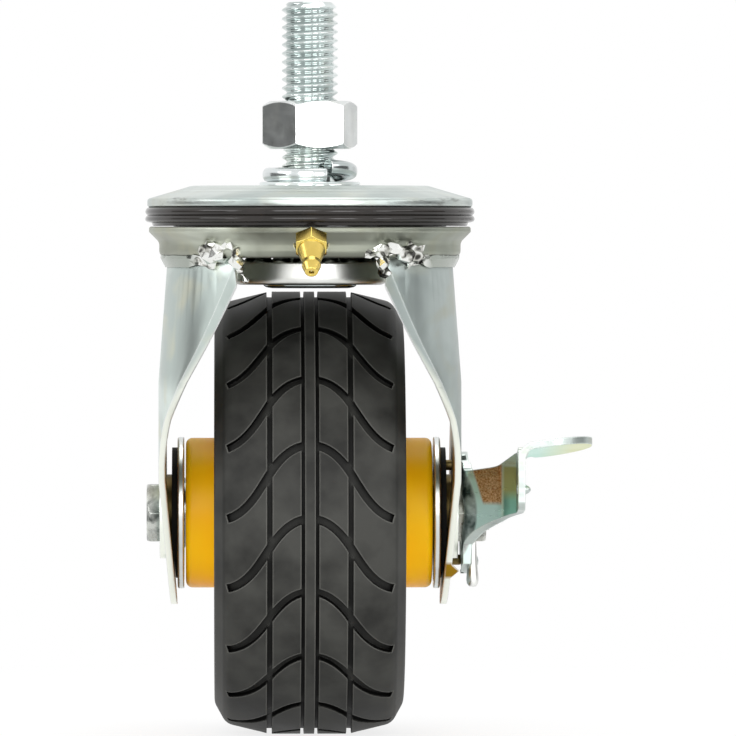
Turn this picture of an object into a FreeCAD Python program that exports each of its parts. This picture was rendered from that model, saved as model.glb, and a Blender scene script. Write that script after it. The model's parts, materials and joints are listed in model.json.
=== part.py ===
import FreeCAD, Part
import math
import os
from FreeCAD import Vector

# Braked caster with a threaded stem, in millimetres.
# The stem axis is Z, the wheel's axle is parallel to X, and the wheel trails towards +Y.
# The origin lies on the stem axis at the top face of the jam nut, where a frame seats.
# The brake lever is on the +X side.

# Small edge rounds
fine_edge = 0.3
soft_edge = 0.5
press_edge = 0.8

# Threaded stem, jam nut and lock washer
stem_radius = 6.35
stem_free_length = 22.2
stem_chamfer = 1.3
stem_core_radius = 5.9
nut_flats = 19.05
nut_height = 10.8
nut_turn = 12.7
hexagon_land_share = 0.96
hexagon_cutter_overrun = 1.0
hexagon_chamfer_angle = 32.0
nut_clearance = 0.05
nut_washer_gap = 4.2
lock_washer_bore_radius = 6.7
lock_washer_radius = 10.7
lock_washer_thickness = 3.2
lock_washer_raise = 1.0
lock_washer_split = 1.2
lock_washer_split_angle = -62.0
lock_washer_corner = 0.4
lock_washer_lift_span = 70.0
lock_washer_steps = 4

# Kingpin below the thread
collar_radius = 11.4
collar_thickness = 0.9
shank_radius = 8.0
shank_clearance = 0.5
peened_head_radius = 10.5
peened_head_height = 0.8
peened_head_bevel = 1.6
peened_head_edge = 0.2

# Top plate
plate_thickness = 3.0
plate_flat_radius = 26.7
plate_shoulder_radius = 30.2
plate_shoulder_drop = 1.05
plate_rim_radius = 36.7
plate_rim_drop = 2.95
plate_rim_height = 1.8
plate_rim_land = 3.8
plate_under_flat_radius = 26.1
plate_bend_radius = 4.0

# Dust seal
seal_radius = 37.2
seal_height = 3.45
seal_rib_depth = 0.4
seal_skirt_radius = 30.8
seal_skirt_thickness = 1.5
seal_skirt_drop = 2.4
seal_gap = 1.0

# Swivel bearing
upper_ball_radius = 3.97
upper_ball_count = 16
upper_race_radius = 21.0
upper_race_depth = 1.0
lower_ball_radius = 2.5
lower_ball_count = 15
lower_race_radius = 13.0
lower_race_depth = 0.6
ball_clearance = 0.03
race_land = 4.4
cup_radius = 17.5
cup_wall = 1.8
cup_floor = 2.2
cup_height = 5.0
cup_corner = 1.6

# Fork crown
crown_thickness = 2.6
crown_lip_radius = 36.3
crown_lip_height = 1.2
crown_wall_radius = 34.0
crown_depth = 7.0
crown_bend_radius = 1.6
crest_bend_radius = 1.0
crest_foot_share = 0.3
crest_inner_share = 0.2
crest_outer_share = 0.4

# Fork legs
trail = 35.0
wheel_top_gap = 1.84
leg_thickness = 1.5
leg_neck_radius = 32.1
leg_half_width = 34.2
leg_flare_height = 28.0
leg_lean_above_axle = 8.0
leg_lean_angle = 5.0
leg_tip_radius = 21.0
leg_band_angle = 58.0
leg_front_reach = 27.6
leg_front_bow_reach = 25.9
leg_front_bow_drop = 8.6
leg_front_middle_reach = 22.1
leg_front_middle_drop = 20.2
leg_front_sweep_reach = 14.5
leg_front_sweep_drop = 31.8
leg_front_end_reach = 9.7
leg_front_end_drop = 36.5
leg_rear_reach = 12.0
boss_radius = 10.5
boss_pocket_radius = 9.2
stop_bump_drop = 12.8
stop_bump_height = 2.6
stop_bump_gap = 0.7
stop_bump_root = 1.2
stop_bump_length = 9.0

# Welds
weld_foot = 2.4
weld_outer_inset = 0.15
weld_toe = 0.5
weld_root_depth = 1.6
weld_span = 52.0
weld_lump_radius = 2.6
weld_lump_shrink = 0.3
weld_lump_count = 4
weld_lump_start = 63.0
weld_lump_step = 5.5
weld_lump_rise = 0.6
weld_lump_stagger = 1.2

# Wheel
wheel_radius = 50.8
tyre_width = 43.3
tyre_bead_width = 38.0
tyre_inner_radius = 33.0
shoulder_radius = 48.4
shoulder_half_width = 19.0
tread_depth = 1.3
side_wall_depth = 12.0
side_bulge_depth = 7.2
side_round = 3.5
crown_round = 9.0
block_groove_count = 19
block_groove_width = 1.9
block_groove_end = 18.6
block_groove_sweep = 8.9
block_groove_knee = 10.2
block_groove_spread = 5.6
block_groove_phase = 0.7
block_groove_steps = 6
block_groove_slope_step = 0.01
block_cutter_rise = 9.0
rib_groove_offset = 1.6
rib_groove_width = 0.8
ring_groove_offset = 9.1
ring_groove_width = 1.2
core_rim_radius = 30.5
core_rim_width = 36.0
core_web_thickness = 9.0
core_rib_count = 8
core_rib_thickness = 3.0
core_rib_height = 26.0
core_corner = 1.5
hub_radius = 17.2
guard_leg_gap = 2.6
hub_edge_radius = 1.5
hub_mouth_edge = 0.4

# Wheel bearings, sleeve and axle
bearing_radius = 14.0
bearing_bore_radius = 6.0
bearing_width = 8.0
bearing_recess = 0.3
bearing_ring_wall = 2.3
bearing_pitch_radius = 10.0
bearing_ball_radius = 2.38
bearing_ball_count = 9
bearing_seat_step = 1.0
spacer_radius = 8.0
bush_radius = 8.8
bolt_radius = 4.0
bolt_clearance = 0.1
bolt_head_flats = 13.0
bolt_head_height = 3.0
bolt_tail = 0.8
axle_nut_flats = 13.0
axle_nut_height = 6.5
guard_radius = 17.4
guard_thickness = 1.5
guard_gap = 0.4
guard_bush_inset = 0.3
slide_clearance = 0.06

# Side brake
lever_thickness = 1.6
lever_gap = 0.7
lever_disc_radius = 14.0
lever_hole_radius = 8.6
lever_bend_radius = 2.4
lever_neck_bend_radius = 2.9
lever_bend_line = 8.0
lever_crease_reach = 14.0
lever_crease_x = 43.8
lever_arm_reach = 19.5
lever_arm_x = 48.0
lever_front_reach = 31.0
lever_neck_low = -7.0
lever_neck_high = 9.6
lever_waist_reach = 10.4
lever_waist_low = -3.9
lever_crease_low = -1.0
lever_crease_high = 10.9
lever_arm_low = 0.6
lever_arm_high = 14.2
lever_front_low = 1.6
lever_neck_inset = 0.3
lever_neck_round = 1.0
lever_waist_round = 6.0
lever_crease_round = 12.0
lever_arm_round = 24.0
lever_front_round = 2.0
lever_shoulder_round = 3.0
pad_tip_x = 64.3
pad_rise = 18.3
pad_bend_height = 15.9
pad_bend_radius = 3.4
pad_depth = 20.0
pad_tilt = 8.0
pad_front_corner = 9.4
pad_rear_corner = 9.4
pad_root_corner = 3.0
pad_root_reach = 4.0
pad_root_gap = 0.6
brake_travel = 0.4
brake_angle = 35.0
ramp_depth = 1.1
pin_radius = 1.2
pin_circle_radius = 12.2
pin_angle = 115.0
ramp_margin = 0.3
rivet_radius = 1.1
rivet_head_radius = 1.9
rivet_head_height = 0.9
arm_rivet_rise = 6.0
wire_radius = 0.95
wire_bulb_radius = 1.5
wire_gap = 0.05
wire_eye_radius = 2.4
wire_eye_thickness = 1.5
wire_rivet_angle = 250.0
wire_rivet_offset = 0.4
wire_rise = 8.2
wire_drop = 16.9

# Grease nipple
nipple_seat_share = 0.7
nipple_seat_radius = 4.1
nipple_turn = 30.0
nipple_thread_radius = 2.0
nipple_thread_length = 1.6
nipple_flats = 6.8
nipple_hex_height = 3.2
nipple_cone_radius = 3.1
nipple_neck_radius = 2.0
nipple_head_radius = 2.15
nipple_tip_radius = 1.4
nipple_length = 10.4
nipple_head_height = 3.2
nipple_head_bulge = 1.2
nipple_bore_radius = 0.9
nipple_mouth_radius = 0.6
nipple_mouth_depth = 0.5
nipple_ball_radius = 0.8
nipple_ball_gap = 0.02

# Levels on the stem axis, from the jam nut's top face down
nut_bottom = -nut_height
washer_top = nut_bottom - nut_washer_gap
shoulder = washer_top - lock_washer_thickness
plate_top = shoulder - collar_thickness
plate_under = plate_top - plate_thickness
rim_top = plate_top - plate_rim_drop
rim_bottom = rim_top - plate_rim_height
seal_bottom = rim_bottom - seal_height
lip_top = seal_bottom - seal_gap
crown_bottom = lip_top - crown_depth
crown_floor = crown_bottom + crown_thickness
crest_top = plate_under - 2 * (upper_ball_radius + ball_clearance) + 2 * upper_race_depth
upper_ball_level = plate_under + upper_race_depth - ball_clearance - upper_ball_radius
lower_ball_level = crown_bottom + lower_race_depth - ball_clearance - lower_ball_radius
cup_floor_top = crown_bottom - 2 * (lower_ball_radius + ball_clearance) + 2 * lower_race_depth
cup_bottom = cup_floor_top - cup_floor
axle_level = cup_bottom - wheel_top_gap - wheel_radius

# Places along the axle, from the wheel's centre outwards
leg_inner = leg_half_width - leg_thickness
guard_outer = leg_inner - guard_leg_gap
guard_inner = guard_outer - guard_thickness
hub_half_length = guard_inner - guard_gap
bearing_outer_face = hub_half_length - bearing_recess
bearing_inner_face = bearing_outer_face - bearing_width
lever_inner = leg_half_width + lever_gap
lever_outer = lever_inner + lever_thickness
lever_middle = lever_inner + lever_thickness / 2

axis_z = Vector(0, 0, 1)
axis_x = Vector(1, 0, 0)
axis_y = Vector(0, 1, 0)
axle_centre = Vector(0, trail, axle_level)


def rounded_wire(points, radii, closed=True):
    """Straight runs through the points, with a tangent arc of the given radius at each corner."""
    count = len(points)
    edges = []
    starts = []
    ends = []
    arcs = []
    for i in range(count):
        corner = points[i]
        radius = radii[i]
        is_end = not closed and i in (0, count - 1)
        if radius <= 0 or is_end:
            starts.append(corner)
            ends.append(corner)
            arcs.append(None)
            continue
        before = (points[i - 1] - corner).normalize()
        after = (points[(i + 1) % count] - corner).normalize()
        half = before.getAngle(after) / 2
        cut = radius / math.tan(half)
        bisector = (before + after).normalize()
        middle = corner + bisector * (radius / math.sin(half) - radius)
        starts.append(corner + before * cut)
        ends.append(corner + after * cut)
        arcs.append(middle)
    for i in range(count):
        if arcs[i] is not None:
            edges.append(Part.Arc(starts[i], arcs[i], ends[i]).toShape())
        if closed or i < count - 1:
            following = starts[(i + 1) % count]
            if ends[i].distanceToPoint(following) > 1e-6:
                edges.append(Part.LineSegment(ends[i], following).toShape())
    return Part.Wire(edges)


def revolve_rz(corners):
    """Solid turned about the stem axis from (radius, level, corner radius) triples."""
    points = [Vector(r, 0, z) for r, z, fillet in corners]
    wire = rounded_wire(points, [fillet for r, z, fillet in corners])
    return Part.Face(wire).revolve(Vector(0, 0, 0), axis_z, 360)


def revolve_axle(corners):
    """Solid turned about the axle from (x, radius, corner radius) triples."""
    points = [Vector(x, trail, axle_level + r) for x, r, fillet in corners]
    wire = rounded_wire(points, [fillet for x, r, fillet in corners])
    return Part.Face(wire).revolve(axle_centre, axis_x, 360)


def tube_x(outer, inner, x0, x1):
    """Tube about the axle between two places on it."""
    body = Part.makeCylinder(outer, x1 - x0, axle_centre + Vector(x0, 0, 0), axis_x)
    if inner > 0:
        hole = Part.makeCylinder(inner, x1 - x0, axle_centre + Vector(x0, 0, 0), axis_x)
        body = body.cut(hole)
    return body


def hexagon(flats, height, chamfer_ends):
    """Upright hexagonal prism on the origin, its corners turned to a cone at the named ends."""
    corner = flats / math.sqrt(3)
    points = []
    for i in range(6):
        angle = math.radians(60 * i)
        points.append(Vector(corner * math.cos(angle), corner * math.sin(angle), 0))
    wire = Part.makePolygon(points + [points[0]])
    prism = Part.Face(wire).extrude(Vector(0, 0, height))
    land = flats / 2 * hexagon_land_share
    reach = corner + hexagon_cutter_overrun
    fall = (reach - land) * math.tan(math.radians(hexagon_chamfer_angle))
    profile = [Vector(0, 0, 0), Vector(0, 0, height)]
    if "top" in chamfer_ends:
        profile += [Vector(land, 0, height), Vector(reach, 0, height - fall)]
    else:
        profile += [Vector(reach, 0, height)]
    if "bottom" in chamfer_ends:
        profile += [Vector(reach, 0, fall), Vector(land, 0, 0)]
    else:
        profile += [Vector(reach, 0, 0)]
    cone = Part.Face(Part.makePolygon(profile + [profile[0]]))
    return prism.common(cone.revolve(Vector(0, 0, 0), axis_z, 360))


def about_axle(shape, degrees):
    """Copy of a shape turned about the axle."""
    turned = shape.copy()
    turned.rotate(axle_centre, axis_x, degrees)
    return turned


def mirrored(shape):
    """Copy of a shape on the other side of the wheel."""
    return shape.mirror(Vector(0, 0, 0), axis_x)


def ball_ring(radius, count, ring_radius, centre, axis):
    """Separate balls evenly round an axis."""
    balls = []
    first = Vector(0, 0, ring_radius) if axis == axis_x else Vector(ring_radius, 0, 0)
    for i in range(count):
        ball = Part.makeSphere(radius, centre + first)
        ball.rotate(centre, axis, 360.0 * i / count)
        balls.append(ball)
    return Part.makeCompound(balls)


def race_groove(ball_radius, ring_radius, level):
    """Ring-shaped groove that a row of balls runs in."""
    return Part.makeTorus(ring_radius, ball_radius + ball_clearance, Vector(0, 0, level), axis_z)


def make_stem():
    """Stud, collar, shank and peened head, turned in one piece."""
    foot = cup_bottom - peened_head_height
    top = stem_free_length
    profile = [
        (0, foot, 0),
        (peened_head_radius - peened_head_bevel, foot, 0),
        (peened_head_radius, cup_bottom - peened_head_edge, fine_edge),
        (peened_head_radius, cup_bottom, 0),
        (shank_radius, cup_bottom, 0),
        (shank_radius, plate_top, 0),
        (collar_radius, plate_top, 0),
        (collar_radius, shoulder, fine_edge),
        (stem_core_radius, shoulder, 0),
        (stem_core_radius, 0, 0),
        (stem_radius, 0, 0),
        (stem_radius, top - stem_chamfer, 0),
        (stem_radius - stem_chamfer, top, 0),
        (0, top, 0),
    ]
    return revolve_rz(profile)


def make_nut():
    """Jam nut, run part of the way down the stem."""
    nut = hexagon(nut_flats, nut_height, ("top", "bottom"))
    bore = Part.makeCylinder(stem_core_radius + nut_clearance, nut_height)
    nut = nut.cut(bore)
    nut.translate(Vector(0, 0, nut_bottom))
    nut.rotate(Vector(0, 0, 0), axis_z, nut_turn)
    return nut


def make_lock_washer():
    """Split spring washer: a flat coil with one end bent up beside the split."""
    section = [
        Vector(lock_washer_bore_radius, 0, 0),
        Vector(lock_washer_radius, 0, 0),
        Vector(lock_washer_radius, 0, lock_washer_thickness),
        Vector(lock_washer_bore_radius, 0, lock_washer_thickness),
    ]
    corners = [lock_washer_corner] * 4
    face = Part.Face(rounded_wire(section, corners))
    gap = math.degrees(lock_washer_split / lock_washer_radius)
    lifted = lock_washer_lift_span
    flat = face.revolve(Vector(0, 0, 0), axis_z, 360 - gap - lifted)
    sections = []
    for i in range(lock_washer_steps + 1):
        share = i / float(lock_washer_steps)
        wire = rounded_wire(section, corners)
        wire.translate(Vector(0, 0, lock_washer_raise * share * share))
        wire.rotate(Vector(0, 0, 0), axis_z, 360 - gap - lifted * (1 - share))
        sections.append(wire)
    ramp = Part.makeLoft(sections, True, False)
    washer = flat.fuse(ramp)
    washer.rotate(Vector(0, 0, 0), axis_z, lock_washer_split_angle)
    washer.translate(Vector(0, 0, shoulder))
    return washer


def make_top_plate():
    """Pressed round plate with a conical edge, a hole for the shank and the upper ball groove."""
    inner_rim = plate_rim_radius - plate_rim_land
    profile = [
        (shank_radius, plate_top, 0),
        (plate_flat_radius, plate_top, plate_bend_radius),
        (plate_shoulder_radius, plate_top - plate_shoulder_drop, plate_bend_radius),
        (plate_rim_radius, rim_top, press_edge),
        (plate_rim_radius, rim_bottom, soft_edge),
        (inner_rim, rim_bottom, press_edge),
        (plate_under_flat_radius, plate_under, plate_bend_radius / 2),
        (shank_radius, plate_under, 0),
    ]
    plate = revolve_rz(profile)
    return plate.cut(race_groove(upper_ball_radius, upper_race_radius, upper_ball_level))


def make_dust_seal():
    """Rubber ring with two rounded ribs under the plate's rim, and a skirt down inside the crown."""
    valley = seal_radius - seal_rib_depth
    rib = seal_height / 2
    middle = rim_bottom - rib
    skirt_inner = seal_skirt_radius - seal_skirt_thickness
    skirt_bottom = seal_bottom - seal_skirt_drop
    corners = [
        Vector(valley, 0, seal_bottom),
        Vector(seal_skirt_radius, 0, seal_bottom),
        Vector(seal_skirt_radius, 0, skirt_bottom),
        Vector(skirt_inner, 0, skirt_bottom),
        Vector(skirt_inner, 0, rim_bottom),
        Vector(valley, 0, rim_bottom),
    ]
    edges = [
        Part.Arc(
            Vector(valley, 0, rim_bottom),
            Vector(seal_radius, 0, rim_bottom - rib / 2),
            Vector(valley, 0, middle),
        ).toShape(),
        Part.Arc(
            Vector(valley, 0, middle),
            Vector(seal_radius, 0, middle - rib / 2),
            Vector(valley, 0, seal_bottom),
        ).toShape(),
    ]
    for start, end in zip(corners, corners[1:]):
        edges.append(Part.LineSegment(start, end).toShape())
    return Part.Face(Part.Wire(edges)).revolve(Vector(0, 0, 0), axis_z, 360)


def make_fork_crown():
    """Pressed dish with a flared lip, a raised upper race and a groove below for the lower balls."""
    t = crown_thickness
    taper = crown_lip_radius - crown_wall_radius
    wall_top = lip_top - crown_lip_height - taper
    inner_wall = crown_wall_radius - t
    crest_in = upper_race_radius - race_land
    crest_out = upper_race_radius + race_land
    hole = shank_radius + shank_clearance
    profile = [
        (crown_lip_radius, lip_top, soft_edge),
        (crown_lip_radius, lip_top - crown_lip_height, fine_edge),
        (crown_wall_radius, wall_top, crown_bend_radius),
        (crown_wall_radius, crown_bottom, crown_bend_radius),
        (crest_out + t, crown_bottom, crest_bend_radius),
        (crest_out, crest_top - t, crest_bend_radius),
        (crest_in, crest_top - t, crest_bend_radius),
        (crest_in - t * crest_foot_share, crown_bottom, soft_edge),
        (hole, crown_bottom, fine_edge),
        (hole, crown_floor, fine_edge),
        (crest_in - t, crown_floor, crest_bend_radius),
        (crest_in - t * crest_inner_share, crest_top, press_edge),
        (crest_out + t * crest_outer_share, crest_top, press_edge),
        (crest_out + t, crown_floor, soft_edge),
        (inner_wall, crown_floor, soft_edge),
        (inner_wall, lip_top, soft_edge),
    ]
    crown = revolve_rz(profile)
    crown = crown.cut(race_groove(upper_ball_radius, upper_race_radius, upper_ball_level))
    crown = crown.cut(race_groove(lower_ball_radius, lower_race_radius, lower_ball_level))
    seat, direction = nipple_frame()
    spot = Part.makeCylinder(nipple_seat_radius, crown_depth, seat, direction)
    return crown.cut(spot).cut(nipple_thread())


def make_lower_cup():
    """Turned cup that carries the lower balls and is clamped by the peened head."""
    top = cup_bottom + cup_height
    inner = cup_radius - cup_wall
    profile = [
        (shank_radius, cup_bottom, 0),
        (cup_radius, cup_bottom, cup_corner),
        (cup_radius, top, fine_edge),
        (inner, top, fine_edge),
        (inner, cup_floor_top, soft_edge),
        (shank_radius, cup_floor_top, 0),
    ]
    cup = revolve_rz(profile)
    return cup.cut(race_groove(lower_ball_radius, lower_race_radius, lower_ball_level))


def nipple_frame():
    """Seat and direction of the grease nipple: square to the crown's flared lip."""
    direction = Vector(0, -1, -1).normalize()
    fall = (crown_lip_radius - crown_wall_radius) * nipple_seat_share
    return Vector(0, fall - crown_lip_radius, lip_top - crown_lip_height - fall), direction


def nipple_thread():
    """Hole in the crown for the nipple's threaded root."""
    seat, direction = nipple_frame()
    return Part.makeCylinder(nipple_thread_radius, nipple_thread_length, seat, direction * -1)


def place_on_nipple(shape):
    """Move a shape from the upright origin to the nipple's seat."""
    seat, direction = nipple_frame()
    shape.rotate(Vector(0, 0, 0), axis_z, nipple_turn)
    turn = FreeCAD.Rotation(axis_z, direction)
    shape.Placement = FreeCAD.Placement(seat, turn).multiply(shape.Placement)
    return shape


def make_grease_nipple():
    """Hexagon, cone, neck and rounded head, with a bore to the check ball's seat."""
    hexa = hexagon(nipple_flats, nipple_hex_height, ("top",))
    neck_level = nipple_length - nipple_head_height
    profile = [
        Vector(0, 0, 0),
        Vector(nipple_cone_radius, 0, 0),
        Vector(nipple_cone_radius, 0, nipple_hex_height + soft_edge),
        Vector(nipple_neck_radius, 0, neck_level),
        Vector(nipple_head_radius, 0, neck_level + nipple_head_bulge),
        Vector(nipple_tip_radius, 0, nipple_length),
        Vector(0, 0, nipple_length),
    ]
    radii = [0, 0, fine_edge, soft_edge, press_edge, fine_edge, 0]
    stem = Part.Face(rounded_wire(profile, radii)).revolve(Vector(0, 0, 0), axis_z, 360)
    foot = Vector(0, 0, -nipple_thread_length)
    root = Part.makeCylinder(nipple_thread_radius, nipple_thread_length, foot)
    bore_length = nipple_length + nipple_thread_length - nipple_mouth_depth
    bore = Part.makeCylinder(nipple_bore_radius, bore_length, foot)
    mouth = Part.makeCylinder(nipple_mouth_radius, nipple_length, Vector(0, 0, 0))
    nipple = hexa.fuse(stem).fuse(root).cut(bore).cut(mouth)
    return place_on_nipple(nipple.removeSplitter())


def make_nipple_ball():
    """Check ball that closes the nipple's mouth from inside."""
    level = nipple_length - nipple_mouth_depth - nipple_ball_radius - nipple_ball_gap
    return place_on_nipple(Part.makeSphere(nipple_ball_radius, Vector(0, 0, level)))


def leg_band(outer, level):
    """Plan outline of a left leg: an arc round the stem axis in front, then straight to the rear."""
    inner = outer - leg_thickness
    rear = trail + leg_tip_radius + leg_thickness
    end = math.radians(leg_band_angle)

    def point(radius, angle):
        return Vector(-radius * math.cos(angle), -radius * math.sin(angle), level)

    edges = [
        Part.LineSegment(Vector(-outer, rear, level), point(outer, 0)),
        Part.Arc(point(outer, 0), point(outer, end / 2), point(outer, end)),
        Part.LineSegment(point(outer, end), point(inner, end)),
        Part.Arc(point(inner, end), point(inner, end / 2), point(inner, 0)),
        Part.LineSegment(point(inner, 0), Vector(-inner, rear, level)),
        Part.LineSegment(Vector(-inner, rear, level), Vector(-outer, rear, level)),
    ]
    return Part.Wire([edge.toShape() for edge in edges])


def foot_point(x, degrees):
    """Point on the round foot of a leg."""
    angle = math.radians(degrees)
    across = leg_tip_radius * math.cos(angle)
    return Vector(x, trail + across, axle_level + leg_tip_radius * math.sin(angle))


def foot_tangent(start, turn):
    """Angle at which a line from the start touches the round foot, on the side named by the turn."""
    across = start.y - trail
    up = start.z - axle_level
    spread = math.acos(leg_tip_radius / math.hypot(across, up))
    return math.degrees(math.atan2(up, across) + turn * spread)


def leg_side_outline():
    """Side outline of a leg: swept front edge, round foot about the axle and sloping rear edge."""
    x = -leg_half_width - leg_thickness
    top = crown_bottom
    front = [
        Vector(x, -leg_front_reach, top),
        Vector(x, -leg_front_bow_reach, top - leg_front_bow_drop),
        Vector(x, -leg_front_middle_reach, top - leg_front_middle_drop),
        Vector(x, -leg_front_sweep_reach, top - leg_front_sweep_drop),
        Vector(x, -leg_front_end_reach, top - leg_front_end_drop),
    ]
    curve = Part.BSplineCurve()
    curve.interpolate(front)
    rear_top = Vector(x, leg_rear_reach, top)
    first = foot_tangent(front[-1], 1)
    last = foot_tangent(rear_top, -1) + 360
    edges = [
        curve.toShape(),
        Part.LineSegment(front[-1], foot_point(x, first)).toShape(),
        Part.Arc(
            foot_point(x, first), foot_point(x, (first + last) / 2), foot_point(x, last)
        ).toShape(),
        Part.LineSegment(foot_point(x, last), rear_top).toShape(),
        Part.LineSegment(rear_top, front[0]).toShape(),
    ]
    return Part.Face(Part.Wire(edges)).extrude(Vector(-x, 0, 0))


def make_leg():
    """Left fork leg: wrapped round the crown above, flat and leaning inwards at the axle."""
    bend = crown_bottom - leg_flare_height
    lean_level = axle_level + leg_lean_above_axle
    low = axle_level - leg_tip_radius - leg_thickness
    upper = Part.makeLoft(
        [leg_band(leg_neck_radius, crown_bottom), leg_band(leg_half_width, bend)], True, True
    )
    straight = Part.Face(leg_band(leg_half_width, bend)).extrude(Vector(0, 0, lean_level - bend))
    lean = (lean_level - low) * math.tan(math.radians(leg_lean_angle))
    leaning = Part.Face(leg_band(leg_half_width, lean_level)).extrude(Vector(lean, 0, low - lean_level))
    sheet = upper.fuse(straight).fuse(leaning).removeSplitter()
    leg = sheet.common(leg_side_outline())
    pocket = tube_x(boss_pocket_radius, 0, -leg_inner, -leg_inner + 2 * leg_thickness)
    boss = tube_x(boss_radius, 0, -leg_half_width, -leg_inner)
    leg = leg.fuse(boss).cut(pocket)
    leg = leg.cut(tube_x(bolt_radius + bolt_clearance, 0, -leg_half_width, -leg_inner))
    return leg.removeSplitter()


def make_brake_leg(left):
    """Right fork leg: the left one mirrored, with holes for the push pins and a stop bump."""
    leg = mirrored(left)
    for centre in pin_centres():
        start = centre + Vector(guard_outer, 0, 0)
        reach = lever_inner - guard_outer
        hole = Part.makeCylinder(pin_radius + slide_clearance, reach, start, axis_x)
        leg = leg.cut(hole)
    level = axle_level - stop_bump_drop
    lean = (leg_lean_above_axle + stop_bump_drop) * math.tan(math.radians(leg_lean_angle))
    root = leg_half_width - lean - stop_bump_root
    wedge = [
        Vector(root, trail - leg_tip_radius, level + stop_bump_height),
        Vector(lever_inner - stop_bump_gap, trail - leg_tip_radius, level),
        Vector(root, trail - leg_tip_radius, level - stop_bump_height),
    ]
    bump = Part.Face(Part.makePolygon(wedge + [wedge[0]])).extrude(Vector(0, stop_bump_length, 0))
    bump = bump.common(mirrored(leg_side_outline()))
    return leg.fuse(bump).removeSplitter()


def make_weld_beads(crown, legs):
    """Fillet weld between the crown's wall and each leg's outside, ending in lumps at the front edge."""
    outer = crown_wall_radius - weld_outer_inset
    foot = leg_neck_radius + weld_toe * leg_thickness / leg_flare_height
    section = [
        Vector(outer, 0, crown_bottom + crown_bend_radius),
        Vector(outer, 0, crown_bottom),
        Vector(foot + weld_toe, 0, crown_bottom - weld_foot),
        Vector(foot - weld_root_depth, 0, crown_bottom - weld_foot),
        Vector(foot - weld_root_depth, 0, crown_bottom + crown_bend_radius),
    ]
    profile = rounded_wire(section, [0, weld_root_depth, 0, 0, 0])
    beads = []
    for side in (1, -1):
        fillet = Part.Face(profile).revolve(Vector(0, 0, 0), axis_z, -weld_span)
        if side < 0:
            fillet = mirrored(fillet)
        parts = []
        for i in range(weld_lump_count):
            angle = math.radians(weld_lump_start - i * weld_lump_step)
            size = weld_lump_radius - weld_lump_shrink * i
            level = crown_bottom + weld_lump_rise + weld_lump_stagger * (i % 2)
            across = side * outer * math.cos(angle)
            parts.append(Part.makeSphere(size, Vector(across, -outer * math.sin(angle), level)))
        bead = fillet.multiFuse(parts)
        bead = bead.cut(crown)
        for leg in legs:
            bead = bead.cut(leg)
        solids = sorted(bead.Solids, key=lambda solid: solid.Volume)
        beads.append(solids[-1])
    return Part.makeCompound(beads)


def tyre_profile(depth):
    """Section of the tyre with its tread surface set back by a depth."""
    half = tyre_width / 2
    bead = tyre_bead_width / 2
    top = wheel_radius - depth
    shoulder_r = shoulder_radius - depth
    return [
        (-bead, tyre_inner_radius, soft_edge),
        (-half, wheel_radius - side_wall_depth, side_round),
        (-half, wheel_radius - side_bulge_depth, side_round),
        (-shoulder_half_width, shoulder_r, side_round),
        (-ring_groove_offset, top, crown_round),
        (ring_groove_offset, top, crown_round),
        (shoulder_half_width, shoulder_r, side_round),
        (half, wheel_radius - side_bulge_depth, side_round),
        (half, wheel_radius - side_wall_depth, side_round),
        (bead, tyre_inner_radius, soft_edge),
    ]


def groove_fall(x):
    """How far a block groove lies below the height of its knee, at a place across the tread."""
    return block_groove_sweep * math.tanh((x - block_groove_knee) / block_groove_spread)


def groove_edge(offset):
    """Edge of a block groove in the plane above the tread: x across, y round the wheel."""
    points = []
    step = block_groove_slope_step
    for i in range(block_groove_steps + 1):
        share = i / float(block_groove_steps)
        x = rib_groove_offset + (block_groove_end - rib_groove_offset) * share
        slope = (groove_fall(x + step) - groove_fall(x - step)) / (2 * step)
        length = math.hypot(1, slope)
        points.append(Vector(x + offset * slope / length, offset / length - groove_fall(x), 0))
    return points


def groove_cutter():
    """Upright prism with the plan of one curved block groove."""
    half = block_groove_width / 2
    upper = groove_edge(half)
    lower = groove_edge(-half)
    first = Part.BSplineCurve()
    first.interpolate(upper)
    second = Part.BSplineCurve()
    second.interpolate(list(reversed(lower)))
    wire = Part.Wire(
        [
            first.toShape(),
            Part.LineSegment(upper[-1], lower[-1]).toShape(),
            second.toShape(),
            Part.LineSegment(lower[0], upper[0]).toShape(),
        ]
    )
    prism = Part.Face(wire).extrude(Vector(0, 0, side_wall_depth))
    prism.translate(Vector(0, 0, wheel_radius - block_cutter_rise))
    return prism


def make_tyre():
    """Rubber tyre: a centre rib, four ring grooves and curved block grooves pointing forward."""
    full = revolve_axle(tyre_profile(0))
    carcass = revolve_axle(tyre_profile(tread_depth))
    rings = []
    for side in (-1, 1):
        for offset, width in (
            (rib_groove_offset, rib_groove_width),
            (ring_groove_offset, ring_groove_width),
        ):
            x = side * offset
            floor = wheel_radius - tread_depth
            rings.append(tube_x(wheel_radius + 1, floor, x - width / 2, x + width / 2))
    right = groove_cutter()
    left = mirrored(right)
    step = 360.0 / block_groove_count
    lead = math.degrees(groove_fall(block_groove_end) / wheel_radius)
    cutters = []
    for prism in (left, right):
        placed = prism.copy()
        placed.translate(axle_centre)
        turned = about_axle(placed, 90 - block_groove_phase - lead)
        trimmed = turned.cut(carcass)
        for i in range(block_groove_count):
            cutters.append(about_axle(trimmed, step * i))
    tyre = full.cut(rings)
    return tyre.cut(cutters)


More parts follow.
